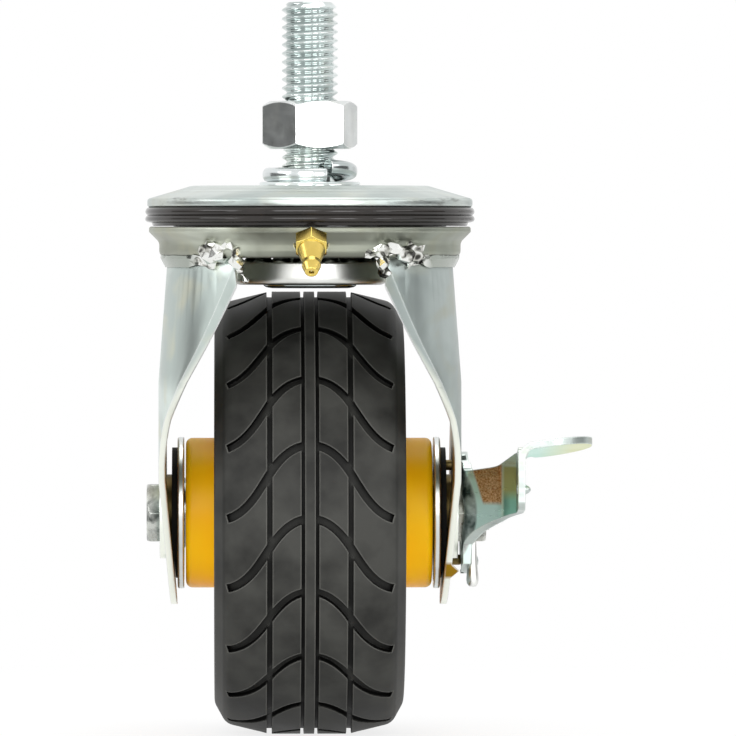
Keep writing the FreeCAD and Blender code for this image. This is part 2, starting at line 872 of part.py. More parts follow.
def make_wheel_core():
    """Moulded core: rim under the tyre, ribbed web and long hub with stepped bearing seats."""
    half_rim = core_rim_width / 2
    half_web = core_web_thickness / 2
    seat = bearing_inner_face
    half = [
        (0, bearing_radius - bearing_seat_step, 0),
        (seat, bearing_radius - bearing_seat_step, 0),
        (seat, bearing_radius, 0),
        (hub_half_length, bearing_radius, hub_mouth_edge),
        (hub_half_length, hub_radius, hub_edge_radius),
        (half_web, hub_radius, core_corner),
        (half_web, core_rim_radius, core_corner),
        (half_rim, core_rim_radius, press_edge),
        (half_rim, tyre_inner_radius, fine_edge),
        (0, tyre_inner_radius, 0),
    ]
    side = revolve_axle(half)
    core = side.fuse(mirrored(side))
    ribs = []
    for i in range(core_rib_count):
        rib = Part.makeBox(
            core_rib_height,
            core_rib_thickness,
            core_rim_radius - hub_radius + 2 * soft_edge,
            axle_centre + Vector(-core_rib_height / 2, -core_rib_thickness / 2, hub_radius - soft_edge),
        )
        ribs.append(about_axle(rib, 360.0 * i / core_rib_count))
    core = core.fuse(ribs)
    return core.removeSplitter()


def make_bearing(side):
    """Outer ring, inner ring and balls of one deep groove ball bearing."""
    x0, x1 = bearing_inner_face, bearing_outer_face
    if side < 0:
        x0, x1 = -x1, -x0
    middle = axle_centre + Vector((x0 + x1) / 2, 0, 0)
    groove = Part.makeTorus(bearing_pitch_radius, bearing_ball_radius + ball_clearance, middle, axis_x)
    outer = tube_x(bearing_radius, bearing_radius - bearing_ring_wall, x0, x1).cut(groove)
    inner = tube_x(bearing_bore_radius + bearing_ring_wall, bearing_bore_radius, x0, x1).cut(groove)
    balls = ball_ring(bearing_ball_radius, bearing_ball_count, bearing_pitch_radius, middle, axis_x)
    return outer, inner, balls


def make_axle_bolt():
    """Hexagon bolt through both legs and the sleeve."""
    head = hexagon(bolt_head_flats, bolt_head_height, ("top",))
    head.rotate(Vector(0, 0, 0), axis_z, 90)
    head.rotate(Vector(0, 0, 0), axis_y, -90)
    head.translate(axle_centre + Vector(-leg_half_width, 0, 0))
    tail = leg_half_width + axle_nut_height + bolt_tail
    shank = tube_x(bolt_radius, 0, -leg_half_width, tail)
    return head.fuse(shank).removeSplitter()


def make_axle_nut():
    """Nut on the brake side, inside the lever's round opening."""
    nut = hexagon(axle_nut_flats, axle_nut_height, ("top",))
    nut = nut.cut(Part.makeCylinder(bolt_radius, axle_nut_height))
    nut.rotate(Vector(0, 0, 0), axis_z, 90)
    nut.rotate(Vector(0, 0, 0), axis_y, 90)
    nut.translate(axle_centre + Vector(leg_half_width, 0, 0))
    return nut


def make_thread_guard():
    """Left guard disc on the sleeve, with a bush that reaches the bearing's inner ring."""
    bush = bearing_bore_radius + bearing_ring_wall - guard_bush_inset
    profile = [
        (bearing_outer_face, bearing_bore_radius, 0),
        (bearing_outer_face, bush, 0),
        (guard_inner, bush, 0),
        (guard_inner, guard_radius, fine_edge),
        (guard_outer, guard_radius, soft_edge),
        (guard_outer, bearing_bore_radius, 0),
    ]
    return mirrored(revolve_axle(profile))


def pin_centres():
    """Centres of the two push pins, opposite each other on a circle about the axle."""
    centres = []
    for angle in (pin_angle, pin_angle + 180):
        a = math.radians(angle)
        across = Vector(0, pin_circle_radius * math.cos(a), pin_circle_radius * math.sin(a))
        centres.append(axle_centre + across)
    return centres


def make_brake_disc():
    """Pressure disc that slides on the bush and is pressed against the hub's end."""
    profile = [
        (guard_inner, bush_radius + slide_clearance, fine_edge),
        (guard_inner, guard_radius, fine_edge),
        (guard_outer, guard_radius, soft_edge),
        (guard_outer, bush_radius + slide_clearance, fine_edge),
    ]
    return revolve_axle(profile)


def make_push_pins():
    """Round-ended pins from the pressure disc through the leg to the lever's ramps."""
    pins = []
    tip = lever_inner + ramp_depth - ramp_margin
    for centre in pin_centres():
        length = tip - guard_outer - pin_radius
        pin = Part.makeCylinder(pin_radius, length, centre + Vector(guard_outer, 0, 0), axis_x)
        dome = Part.makeSphere(pin_radius, centre + Vector(guard_outer + length, 0, 0))
        pins.append(pin.fuse(dome).removeSplitter())
    return Part.makeCompound(pins)


def ramp_pocket(angle):
    """Wedge-shaped pocket in the lever's inner face, deep at rest and shallow when locked."""
    half_turn = math.radians(brake_angle / 2)
    travel = 2 * pin_circle_radius * math.sin(half_turn)
    side = pin_radius + ramp_margin
    low = pin_circle_radius * math.cos(half_turn) - side
    high = pin_circle_radius + side
    slope = brake_travel / travel
    y0 = -travel / 2 - side
    y1 = travel / 2 + side
    deep = ramp_depth + slope * side
    shallow = ramp_depth - brake_travel - slope * side
    points = [
        Vector(-lever_gap, y0, low),
        Vector(deep, y0, low),
        Vector(shallow, y1, low),
        Vector(-lever_gap, y1, low),
    ]
    wedge = Part.Face(Part.makePolygon(points + [points[0]])).extrude(Vector(0, 0, high - low))
    wedge.translate(axle_centre + Vector(lever_inner, 0, 0))
    return about_axle(wedge, angle - brake_angle / 2 - 90)


def lever_point(x, reach, rise):
    """Point of the lever's side outline: forward reach from the axle and rise above it."""
    return Vector(x, trail - reach, axle_level + rise)


def lever_outline():
    """Side outline of the lever: round base, waist, and arm rising to the front."""
    x = lever_inner - lever_thickness
    width = pad_tip_x - x
    r = lever_disc_radius
    neck = lever_bend_line
    drop = math.sqrt(r * r - neck * neck)
    corners = [
        (neck, -drop, 0),
        (neck + lever_neck_inset, lever_neck_low, lever_neck_round),
        (lever_waist_reach, lever_waist_low, lever_waist_round),
        (lever_crease_reach, lever_crease_low, lever_crease_round),
        (lever_arm_reach, lever_arm_low, lever_arm_round),
        (lever_front_reach, lever_front_low, lever_front_round),
        (lever_front_reach, pad_bend_height, lever_neck_round),
        (lever_arm_reach, lever_arm_high, lever_shoulder_round),
        (lever_crease_reach, lever_crease_high, lever_waist_round),
        (neck + lever_neck_inset, lever_neck_high, lever_neck_round),
        (neck, drop, 0),
        (0, drop, 0),
        (0, -drop, 0),
    ]
    points = [lever_point(x, reach, rise) for reach, rise, corner in corners]
    wire = rounded_wire(points, [corner for reach, rise, corner in corners])
    arm = Part.Face(wire).extrude(Vector(width, 0, 0))
    disc = Part.makeCylinder(r, width, axle_centre + Vector(x, 0, 0), axis_x)
    front = Part.makeBox(width, r, 2 * r, lever_point(x, neck + r, -r))
    return disc.cut(front).fuse(arm)


def sheet_profile(middle, radii, thickness):
    """Closed outline of a bent sheet, from its middle line in a plane."""
    normal = (middle[1] - middle[0]).cross(middle[-1] - middle[1]).normalize()
    left = []
    right = []
    count = len(middle)
    for i in range(count):
        before = (middle[i] - middle[i - 1]).normalize() if i > 0 else None
        after = (middle[i + 1] - middle[i]).normalize() if i < count - 1 else None
        if before is None:
            offset = after.cross(normal)
        elif after is None:
            offset = before.cross(normal)
        else:
            offset = (before.cross(normal) + after.cross(normal)).normalize()
            offset = offset * (1 / math.cos(before.getAngle(after) / 2))
        left.append(middle[i] + offset * (thickness / 2))
        right.append(middle[i] - offset * (thickness / 2))
    left_radii = []
    right_radii = []
    for i in range(count):
        if i in (0, count - 1) or radii[i] <= 0:
            left_radii.append(0)
            right_radii.append(0)
            continue
        turn = (middle[i] - middle[i - 1]).cross(middle[i + 1] - middle[i])
        sign = 1 if turn.dot(normal) > 0 else -1
        left_radii.append(radii[i] + sign * thickness / 2)
        right_radii.append(radii[i] - sign * thickness / 2)
    points = left + list(reversed(right))
    return rounded_wire(points, left_radii + list(reversed(right_radii)))


def make_brake_lever():
    """Stamped lever: ramped disc round the axle nut, cranked arm and outward foot pad."""
    span = 2 * lever_disc_radius
    far = lever_front_reach + lever_thickness
    middle = [
        lever_point(lever_middle, -span, -span),
        lever_point(lever_middle, lever_bend_line, -span),
        lever_point(lever_crease_x, lever_crease_reach, -span),
        lever_point(lever_arm_x, lever_arm_reach, -span),
        lever_point(lever_arm_x, far, -span),
    ]
    bend = lever_bend_radius
    plan = sheet_profile(middle, [0, lever_neck_bend_radius, bend * 2, bend, 0], lever_thickness)
    sheet = Part.Face(plan).extrude(Vector(0, 0, 2 * span))
    arm = sheet.common(lever_outline())
    root = pad_bend_height - pad_bend_radius * 2
    rise = [
        lever_point(lever_arm_x, far, root),
        lever_point(lever_arm_x, far, pad_bend_height),
        lever_point(pad_tip_x + lever_thickness, far, pad_rise),
    ]
    section = sheet_profile(rise, [0, pad_bend_radius, 0], lever_thickness)
    pad = Part.Face(section).extrude(Vector(0, span, 0))
    pad.rotate(lever_point(lever_arm_x, lever_front_reach, pad_bend_height), axis_x, -pad_tilt)
    inside = lever_arm_x - lever_thickness
    rear = lever_arm_reach + pad_root_gap
    pad_rear = lever_front_reach - pad_depth
    corners = [
        (inside, lever_front_reach, 0),
        (pad_tip_x, lever_front_reach, pad_front_corner),
        (pad_tip_x, pad_rear, pad_rear_corner),
        (lever_arm_x + pad_root_reach, pad_rear, pad_root_corner),
        (lever_arm_x + lever_thickness / 2, rear, press_edge),
        (inside, rear, 0),
    ]
    points = [lever_point(x, reach, root) for x, reach, corner in corners]
    pad_plan = rounded_wire(points, [corner for x, reach, corner in corners])
    pad = pad.common(Part.Face(pad_plan).extrude(Vector(0, 0, span)))
    lever = arm.fuse(pad)
    lever = lever.cut(tube_x(lever_hole_radius, 0, lever_inner, lever_arm_x + lever_thickness))
    for angle in (pin_angle, pin_angle + 180):
        lever = lever.cut(ramp_pocket(angle))
    for hole in lever_rivet_holes():
        lever = lever.cut(hole)
    return lever.removeSplitter()


def wire_seat():
    """Place of the rivet that holds the detent wire."""
    a = math.radians(wire_rivet_angle)
    radius = (lever_hole_radius + lever_disc_radius) / 2 + wire_rivet_offset
    return axle_centre + Vector(0, radius * math.cos(a), radius * math.sin(a))


def arm_rivet_seat():
    """Place of the rivet in the arm's front part."""
    return lever_point(0, (lever_arm_reach + lever_front_reach) / 2, arm_rivet_rise)


def lever_rivet_holes():
    """Holes for the two rivets."""
    holes = []
    for seat, x in ((wire_seat(), lever_inner), (arm_rivet_seat(), lever_arm_x)):
        start = seat + Vector(x - lever_thickness, 0, 0)
        holes.append(Part.makeCylinder(rivet_radius, 3 * lever_thickness, start, axis_x))
    return holes


def head_edge(radius, height, base):
    """Edge of a low domed head: part of a circle centred on the rivet's axis, from the rim up."""
    dome = (radius * radius + height * height) / (2 * height)
    centre = base + height - dome
    half = math.asin(radius / abs(dome)) / 2
    middle = Vector(abs(dome) * math.sin(half), 0, centre + dome * math.cos(half))
    return Part.Arc(Vector(radius, 0, base), middle, Vector(0, 0, base + height)).toShape()


def rivet(grip, two_heads):
    """Upright rivet with its shank from 0 to the grip: one or two domed heads."""
    height = rivet_head_height
    foot = Vector(0, 0, 0)
    edges = []
    if two_heads:
        foot = Vector(0, 0, -height)
        edges.append(head_edge(rivet_head_radius, -height, 0))
        edges.append(Part.LineSegment(Vector(rivet_head_radius, 0, 0), Vector(rivet_radius, 0, 0)).toShape())
    else:
        edges.append(Part.LineSegment(foot, Vector(rivet_radius, 0, 0)).toShape())
    edges.append(Part.LineSegment(Vector(rivet_radius, 0, 0), Vector(rivet_radius, 0, grip)).toShape())
    edges.append(
        Part.LineSegment(Vector(rivet_radius, 0, grip), Vector(rivet_head_radius, 0, grip)).toShape()
    )
    edges.append(head_edge(rivet_head_radius, height, grip))
    edges.append(Part.LineSegment(Vector(0, 0, grip + height), foot).toShape())
    wire = Part.Wire(Part.__sortEdges__(edges))
    return Part.Face(wire).revolve(Vector(0, 0, 0), axis_z, 360)


def make_rivets():
    """Two rivets of the lever: one in the arm, one holding the detent wire."""
    turn = FreeCAD.Rotation(axis_z, axis_x)
    arm = rivet(lever_thickness, True)
    arm_seat = arm_rivet_seat() + Vector(lever_arm_x - lever_thickness / 2, 0, 0)
    arm.Placement = FreeCAD.Placement(arm_seat, turn)
    low = rivet(lever_thickness + wire_eye_thickness, False)
    low.Placement = FreeCAD.Placement(wire_seat() + Vector(lever_inner, 0, 0), turn)
    return Part.makeCompound([arm, low])


def make_detent_wire():
    """Round wire beside its flat eye, hanging down to a bulb at the end."""
    seat = wire_seat() + Vector(lever_outer, 0, 0)
    x = lever_outer + wire_radius + wire_gap
    y = seat.y + rivet_head_radius + wire_radius + wire_gap
    eye = Part.makeCylinder(wire_eye_radius, wire_eye_thickness, seat, axis_x)
    hole = Part.makeCylinder(rivet_radius, wire_eye_thickness, seat, axis_x)
    bottom = axle_level - wire_drop + wire_bulb_radius
    top = axle_level - wire_rise
    shank = Part.makeCylinder(wire_radius, top - bottom, Vector(x, y, top), Vector(0, 0, -1))
    bulb = Part.makeSphere(wire_bulb_radius, Vector(x, y, bottom))
    return eye.fuse(shank).fuse(bulb).cut(hole).removeSplitter()


def main():
    os.makedirs("parts", exist_ok=True)
    crown = make_fork_crown()
    left_leg = make_leg()
    right_leg = make_brake_leg(left_leg)
    upper_centre = Vector(0, 0, upper_ball_level)
    lower_centre = Vector(0, 0, lower_ball_level)
    parts = {
        "threaded_stem": make_stem(),
        "stem_nut": make_nut(),
        "lock_washer": make_lock_washer(),
        "top_plate": make_top_plate(),
        "dust_seal": make_dust_seal(),
        "upper_race_balls": ball_ring(
            upper_ball_radius, upper_ball_count, upper_race_radius, upper_centre, axis_z
        ),
        "lower_race_balls": ball_ring(
            lower_ball_radius, lower_ball_count, lower_race_radius, lower_centre, axis_z
        ),
        "lower_race_cup": make_lower_cup(),
        "fork_crown": crown,
        "fork_leg_left": left_leg,
        "fork_leg_right": right_leg,
        "weld_beads": make_weld_beads(crown, [left_leg, right_leg]),
        "grease_nipple": make_grease_nipple(),
        "nipple_ball": make_nipple_ball(),
        "tyre": make_tyre(),
        "wheel_core": make_wheel_core(),
        "axle_sleeve": tube_x(bearing_bore_radius, bolt_radius + bolt_clearance, -leg_inner, leg_inner),
        "bearing_spacer": tube_x(
            spacer_radius, bearing_bore_radius, -bearing_inner_face, bearing_inner_face
        ),
        "thread_guard": make_thread_guard(),
        "guard_bush": tube_x(bush_radius, bearing_bore_radius, -leg_inner, -guard_outer),
        "brake_bush": tube_x(bush_radius, bearing_bore_radius, bearing_outer_face, leg_inner),
        "axle_bolt": make_axle_bolt(),
        "axle_nut": make_axle_nut(),
        "brake_disc": make_brake_disc(),
        "brake_push_pins": make_push_pins(),
        "brake_lever": make_brake_lever(),
        "lever_rivets": make_rivets(),
        "detent_wire": make_detent_wire(),
    }
    for name, side in (("left", -1), ("right", 1)):
        outer, inner, balls = make_bearing(side)
        parts["bearing_outer_" + name] = outer
        parts["bearing_inner_" + name] = inner
        parts["bearing_balls_" + name] = balls
    for name, shape in parts.items():
        box = shape.BoundBox
        print(
            name, len(shape.Solids), shape.isValid(), round(shape.Volume, 2),
            "x %.2f %.2f y %.2f %.2f z %.2f %.2f"
            % (box.XMin, box.XMax, box.YMin, box.YMax, box.ZMin, box.ZMax),
        )
        shape.exportStep("parts/" + name + ".step")


main()
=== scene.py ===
import json
import math

import bmesh
import bpy
from mathutils import Matrix, Vector, noise


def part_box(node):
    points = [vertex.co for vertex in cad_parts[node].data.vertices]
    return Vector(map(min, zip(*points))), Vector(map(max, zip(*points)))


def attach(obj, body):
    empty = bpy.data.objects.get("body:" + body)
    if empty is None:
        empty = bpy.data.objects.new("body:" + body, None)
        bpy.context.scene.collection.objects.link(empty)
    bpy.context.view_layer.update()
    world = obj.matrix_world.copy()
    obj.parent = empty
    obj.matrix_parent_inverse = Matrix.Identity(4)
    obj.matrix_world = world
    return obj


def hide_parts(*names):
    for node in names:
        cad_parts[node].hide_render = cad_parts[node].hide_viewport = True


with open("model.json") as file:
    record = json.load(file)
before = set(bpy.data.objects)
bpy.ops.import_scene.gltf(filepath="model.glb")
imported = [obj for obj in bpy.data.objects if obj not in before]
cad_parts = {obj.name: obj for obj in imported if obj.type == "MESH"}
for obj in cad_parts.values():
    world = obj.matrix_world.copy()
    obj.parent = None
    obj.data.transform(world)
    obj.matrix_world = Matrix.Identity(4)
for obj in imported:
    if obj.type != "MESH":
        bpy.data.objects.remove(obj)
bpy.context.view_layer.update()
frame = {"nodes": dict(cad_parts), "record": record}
nodes = frame["nodes"]
print("frame loaded:", len(nodes), "nodes")


# camera and frame of the photograph
camera = {
    "place": (-0.016, -1.94, -0.0295),
    "tiltDown": 0.907,  # degrees
    "turnRight": 0.8595,
    "lens": 420.4,
    "sensor": 36,  # millimetres
    "near": 0.05,
    "far": 50,
}


def makeCamera():
    data = bpy.data.cameras.new("photoCamera")
    data.lens = camera["lens"]
    data.sensor_width = camera["sensor"]
    data.clip_start = camera["near"]
    data.clip_end = camera["far"]
    obj = bpy.data.objects.new("photoCamera", data)
    obj.location = camera["place"]
    obj.rotation_euler = (
        math.radians(90 - camera["tiltDown"]),
        0,
        -math.radians(camera["turnRight"]),
    )
    bpy.context.scene.collection.objects.link(obj)
    bpy.context.scene.camera = obj


makeCamera()
bpy.context.scene.view_settings.view_transform = "Standard"
print("camera set")


# help for materials: every pattern lies on object coordinates, in metres
edgeLook = {"samples": 4, "turnFrom": 0.86, "turnTo": 0.99}  # an edge where a softened normal turns: worn edges on the metals, painted highlight on the tyre's rims


def coordinates(tree, kind="Object"):
    return tree.nodes.new("ShaderNodeTexCoord").outputs[kind]


def objectParts(tree, kind="Object"):
    split = tree.nodes.new("ShaderNodeSeparateXYZ")
    tree.links.new(coordinates(tree, kind), split.inputs[0])
    return split.outputs


def newFinish(name, color, rough, metallic=0.0, specular=0.5):
    mat = bpy.data.materials.new(name)
    mat.use_nodes = True
    tree = mat.node_tree
    shader = tree.nodes["Principled BSDF"]
    shader.inputs["Base Color"].default_value = (*color, 1)
    shader.inputs["Roughness"].default_value = rough
    shader.inputs["Metallic"].default_value = metallic
    shader.inputs["Specular IOR Level"].default_value = specular
    return mat, tree, shader, coordinates(tree)


def stretched(tree, source, scale):
    mapping = tree.nodes.new("ShaderNodeMapping")
    mapping.inputs["Scale"].default_value = scale
    tree.links.new(source, mapping.inputs["Vector"])
    return mapping.outputs["Vector"]


def cloud(tree, source, scale, detail=3.0, rough=0.5, twist=0.0):
    tex = tree.nodes.new("ShaderNodeTexNoise")
    tex.inputs["Scale"].default_value = scale
    tex.inputs["Detail"].default_value = detail
    tex.inputs["Roughness"].default_value = rough
    tex.inputs["Distortion"].default_value = twist
    tree.links.new(source, tex.inputs["Vector"])
    return tex.outputs["Fac"]


def lathed(tree, radius, scale):  # rings of noise round an axis
    tex = tree.nodes.new("ShaderNodeTexNoise")
    tex.noise_dimensions = "1D"
    tex.inputs["Scale"].default_value = scale
    tex.inputs["Detail"].default_value = 3.0
    tree.links.new(radius, tex.inputs["W"])
    return tex.outputs["Fac"]


def ramp(tree, source, stops):
    node = tree.nodes.new("ShaderNodeValToRGB")
    elements = node.color_ramp.elements
    while len(elements) < len(stops):
        elements.new(0.5)
    for element, (place, color) in zip(elements, stops):
        element.position = place
        element.color = (*color, 1)
    tree.links.new(source, node.inputs["Fac"])
    return node.outputs["Color"]


def spread(tree, source, low, high, fromLow=0.3, fromHigh=0.7, curve="LINEAR"):
    node = tree.nodes.new("ShaderNodeMapRange")
    node.interpolation_type = curve
    node.inputs["From Min"].default_value = fromLow
    node.inputs["From Max"].default_value = fromHigh
    node.inputs["To Min"].default_value = low
    node.inputs["To Max"].default_value = high
    tree.links.new(source, node.inputs["Value"])
    return node.outputs["Result"]


def combined(tree, operation, first, second=0.0):
    node = tree.nodes.new("ShaderNodeMath")
    node.operation = operation
    for socket, value in zip(node.inputs, (first, second)):
        if isinstance(value, (int, float)):
            socket.default_value = value
        else:
            tree.links.new(value, socket)
    return node.outputs[0]


def multiplied(tree, first, *others):
    for other in others:
        first = combined(tree, "MULTIPLY", first, other)
    return first


def step(tree, value, edge, soft):  # 0 below the edge, 1 above it
    return spread(tree, value, 0.0, 1.0, edge - soft, edge + soft)


def until(tree, value, edge, soft):  # 1 below the edge, 0 above it
    return combined(tree, "SUBTRACT", 1.0, step(tree, value, edge, soft))


def vectorMath(tree, operation, first, second=None):
    node = tree.nodes.new("ShaderNodeVectorMath")
    node.operation = operation
    for socket, value in zip(node.inputs, (first, second)):
        if isinstance(value, tuple):
            socket.default_value = value
        elif value is not None:
            tree.links.new(value, socket)
    return node.outputs["Value" if operation in ("LENGTH", "DOT_PRODUCT") else "Vector"]


def rounds(tree, source, centre, flatten):  # distance from an axis
    shifted = vectorMath(tree, "SUBTRACT", source, centre)
    return vectorMath(tree, "LENGTH", vectorMath(tree, "MULTIPLY", shifted, flatten))


def mixed(tree, factor, first, second, mode="MIX"):
    node = tree.nodes.new("ShaderNodeMix")
    node.data_type = "RGBA"
    node.blend_type = mode
    for socket, value in (("Factor", factor), ("A", first), ("B", second)):
        target = [s for s in node.inputs if s.name == socket and s.type in ("VALUE", "RGBA")]
        target = target[0] if socket == "Factor" else target[-1]
        if isinstance(value, (int, float)):
            target.default_value = value
        elif isinstance(value, tuple):
            target.default_value = (*value, 1)
        else:
            tree.links.new(value, target)
    return [s for s in node.outputs if s.type == "RGBA"][0]


def softNormal(tree, radius):
    soft = tree.nodes.new("ShaderNodeBevel")
    soft.samples = edgeLook["samples"]
    soft.inputs["Radius"].default_value = radius
    return soft.outputs["Normal"]


def edgeMask(tree, radius):
    true = tree.nodes.new("ShaderNodeNewGeometry").outputs["Normal"]
    same = vectorMath(tree, "DOT_PRODUCT", softNormal(tree, radius), true)
    return spread(tree, same, 1.0, 0.0, edgeLook["turnFrom"], edgeLook["turnTo"])


def bump(tree, shader, layers, edge=None):
    normal = softNormal(tree, edge) if edge else None
    for height, strength, distance in layers:
        node = tree.nodes.new("ShaderNodeBump")
        node.inputs["Strength"].default_value = strength
        node.inputs["Distance"].default_value = distance
        tree.links.new(height, node.inputs["Height"])
        if normal:
            tree.links.new(normal, node.inputs["Normal"])
        normal = node.outputs["Normal"]
    tree.links.new(normal, shader.inputs["Normal"])


def seenBy(tree, *kinds):  # 1 for the kinds of ray named, 0 for the rest
    rays = tree.nodes.new("ShaderNodeLightPath")
    seen = rays.outputs[kinds[0]]
    for kind in kinds[1:]:
        seen = combined(tree, "MAXIMUM", seen, rays.outputs[kind])
    return seen


# studio: soft lamps, reflection cards, white surroundings and a plain floor
lamps = {
    "frontSoft": {"place": (-0.30, -1.6, 0.40), "aim": (0, 0, -0.07), "size": 0.9, "power": 9},
    "frontRight": {"place": (0.62, -1.5, 0.0), "aim": (0, 0, -0.05), "size": 0.5, "power": 6},
    "leftSoft": {"place": (-1.3, -0.5, 0.35), "aim": (0, 0, -0.06), "size": 0.8, "power": 5.5},
    "rightSoft": {"place": (1.3, -0.7, 0.1), "aim": (0, 0, -0.06), "size": 0.8, "power": 5.5},
    "topSoft": {"place": (0.1, 0.3, 1.4), "aim": (0, 0, -0.06), "size": 1.0, "power": 6},
}


def makeLamp(name, spec):
    data = bpy.data.lights.new(name, "AREA")
    data.size = spec["size"]
    data.energy = spec["power"]
    obj = bpy.data.objects.new(name, data)
    obj.location = spec["place"]
    aim = Vector(spec["aim"]) - Vector(spec["place"])
    obj.rotation_euler = aim.to_track_quat("-Z", "Y").to_euler()
    bpy.context.scene.collection.objects.link(obj)


for lampName, lampSpec in lamps.items():
    makeLamp(lampName, lampSpec)


# grey and dark cards round the object, seen only in its reflections
cards = {
    "leftCard": {"azimuth": -86, "distance": 1.0, "width": 1.0, "height": 0.36, "tone": 0.13},
    "rightCard": {"azimuth": 82, "distance": 1.0, "width": 0.95, "height": 0.34, "tone": 0.06},
    "rearCard": {"azimuth": 141, "distance": 1.0, "width": 0.55, "height": 0.34, "tone": 0.60},
    "lensCard": {"azimuth": -0.5, "distance": 2.1, "width": 0.75, "height": 0.34, "tone": 0.03},
}
cardLook = {"level": -0.03, "rough": 0.9, "specular": 0.1}


def makeCard(name, spec):
    turn = math.radians(spec["azimuth"])
    toward = Vector((math.sin(turn), -math.cos(turn), 0))
    bm = bmesh.new()
    bmesh.ops.create_grid(bm, x_segments=1, y_segments=1, size=0.5)
    bmesh.ops.scale(bm, verts=bm.verts, vec=(spec["width"], spec["height"], 1))
    bmesh.ops.rotate(bm, verts=bm.verts, matrix=toward.to_track_quat("Z", "Y").to_matrix())
    place = toward * spec["distance"] + Vector((0, 0, cardLook["level"]))
    bmesh.ops.translate(bm, verts=bm.verts, vec=place)
    mesh = bpy.data.meshes.new(name)
    bm.to_mesh(mesh)
    bm.free()
    obj = bpy.data.objects.new(name, mesh)
    bpy.context.scene.collection.objects.link(obj)
    tone = (spec["tone"], spec["tone"], spec["tone"])
    finish = newFinish(name, tone, cardLook["rough"], specular=cardLook["specular"])
    mesh.materials.append(finish[0])
    obj.visible_camera = False
    obj.visible_diffuse = False
    obj.visible_shadow = False
    obj.visible_transmission = False


for cardName, cardSpec in cards.items():
    makeCard(cardName, cardSpec)


surroundings = {"fill": 0.88, "background": 1.0}


def makeWorld():
    world = bpy.data.worlds.new("studio")
    bpy.context.scene.world = world
    world.use_nodes = True
    tree = world.node_tree
    tree.nodes.clear()
    seen = seenBy(tree, "Is Camera Ray", "Is Glossy Ray", "Is Transmission Ray")
    strength = spread(tree, seen, surroundings["fill"], surroundings["background"], 0.0, 1.0)
    back = tree.nodes.new("ShaderNodeBackground")
    back.inputs["Color"].default_value = (1, 1, 1, 1)
    tree.links.new(strength, back.inputs["Strength"])
    out = tree.nodes.new("ShaderNodeOutputWorld")
    tree.links.new(back.outputs[0], out.inputs["Surface"])


makeWorld()


floorSpec = {
    "level": -0.1448, "size": 40.0, "color": (0.9, 0.9, 0.9),
    "plain": 0.80, "fadeFrom": 0.05, "fadeTo": 0.22,  # near the object the floor takes its shadow
}


def makeFloor():
    bm = bmesh.new()
    bmesh.ops.create_grid(bm, x_segments=1, y_segments=1, size=floorSpec["size"] / 2)
    bmesh.ops.translate(bm, verts=bm.verts, vec=(0, 0, floorSpec["level"]))
    mesh = bpy.data.meshes.new("studioFloor")
    bm.to_mesh(mesh)
    bm.free()
    obj = bpy.data.objects.new("studioFloor", mesh)
    bpy.context.scene.collection.objects.link(obj)
    mat = bpy.data.materials.new("paleFloor")
    mat.use_nodes = True
    tree = mat.node_tree
    tree.nodes.clear()
    matt = tree.nodes.new("ShaderNodeBsdfDiffuse")
    matt.inputs["Color"].default_value = (*floorSpec["color"], 1)
    glow = tree.nodes.new("ShaderNodeEmission")
    glow.inputs["Strength"].default_value = 1
    away = vectorMath(tree, "LENGTH", coordinates(tree))
    plain = spread(
        tree, away, floorSpec["plain"], 1.0, floorSpec["fadeFrom"] - floorSpec["level"],
        floorSpec["fadeTo"] - floorSpec["level"], "SMOOTHSTEP",
    )
    share = multiplied(tree, seenBy(tree, "Is Camera Ray", "Is Glossy Ray"), plain)
    mix = tree.nodes.new("ShaderNodeMixShader")
    tree.links.new(share, mix.inputs["Fac"])
    tree.links.new(matt.outputs[0], mix.inputs[1])
    tree.links.new(glow.outputs[0], mix.inputs[2])
    out = tree.nodes.new("ShaderNodeOutputMaterial")
    tree.links.new(mix.outputs[0], out.inputs["Surface"])
    obj.data.materials.append(mat)


makeFloor()
print("studio lit")


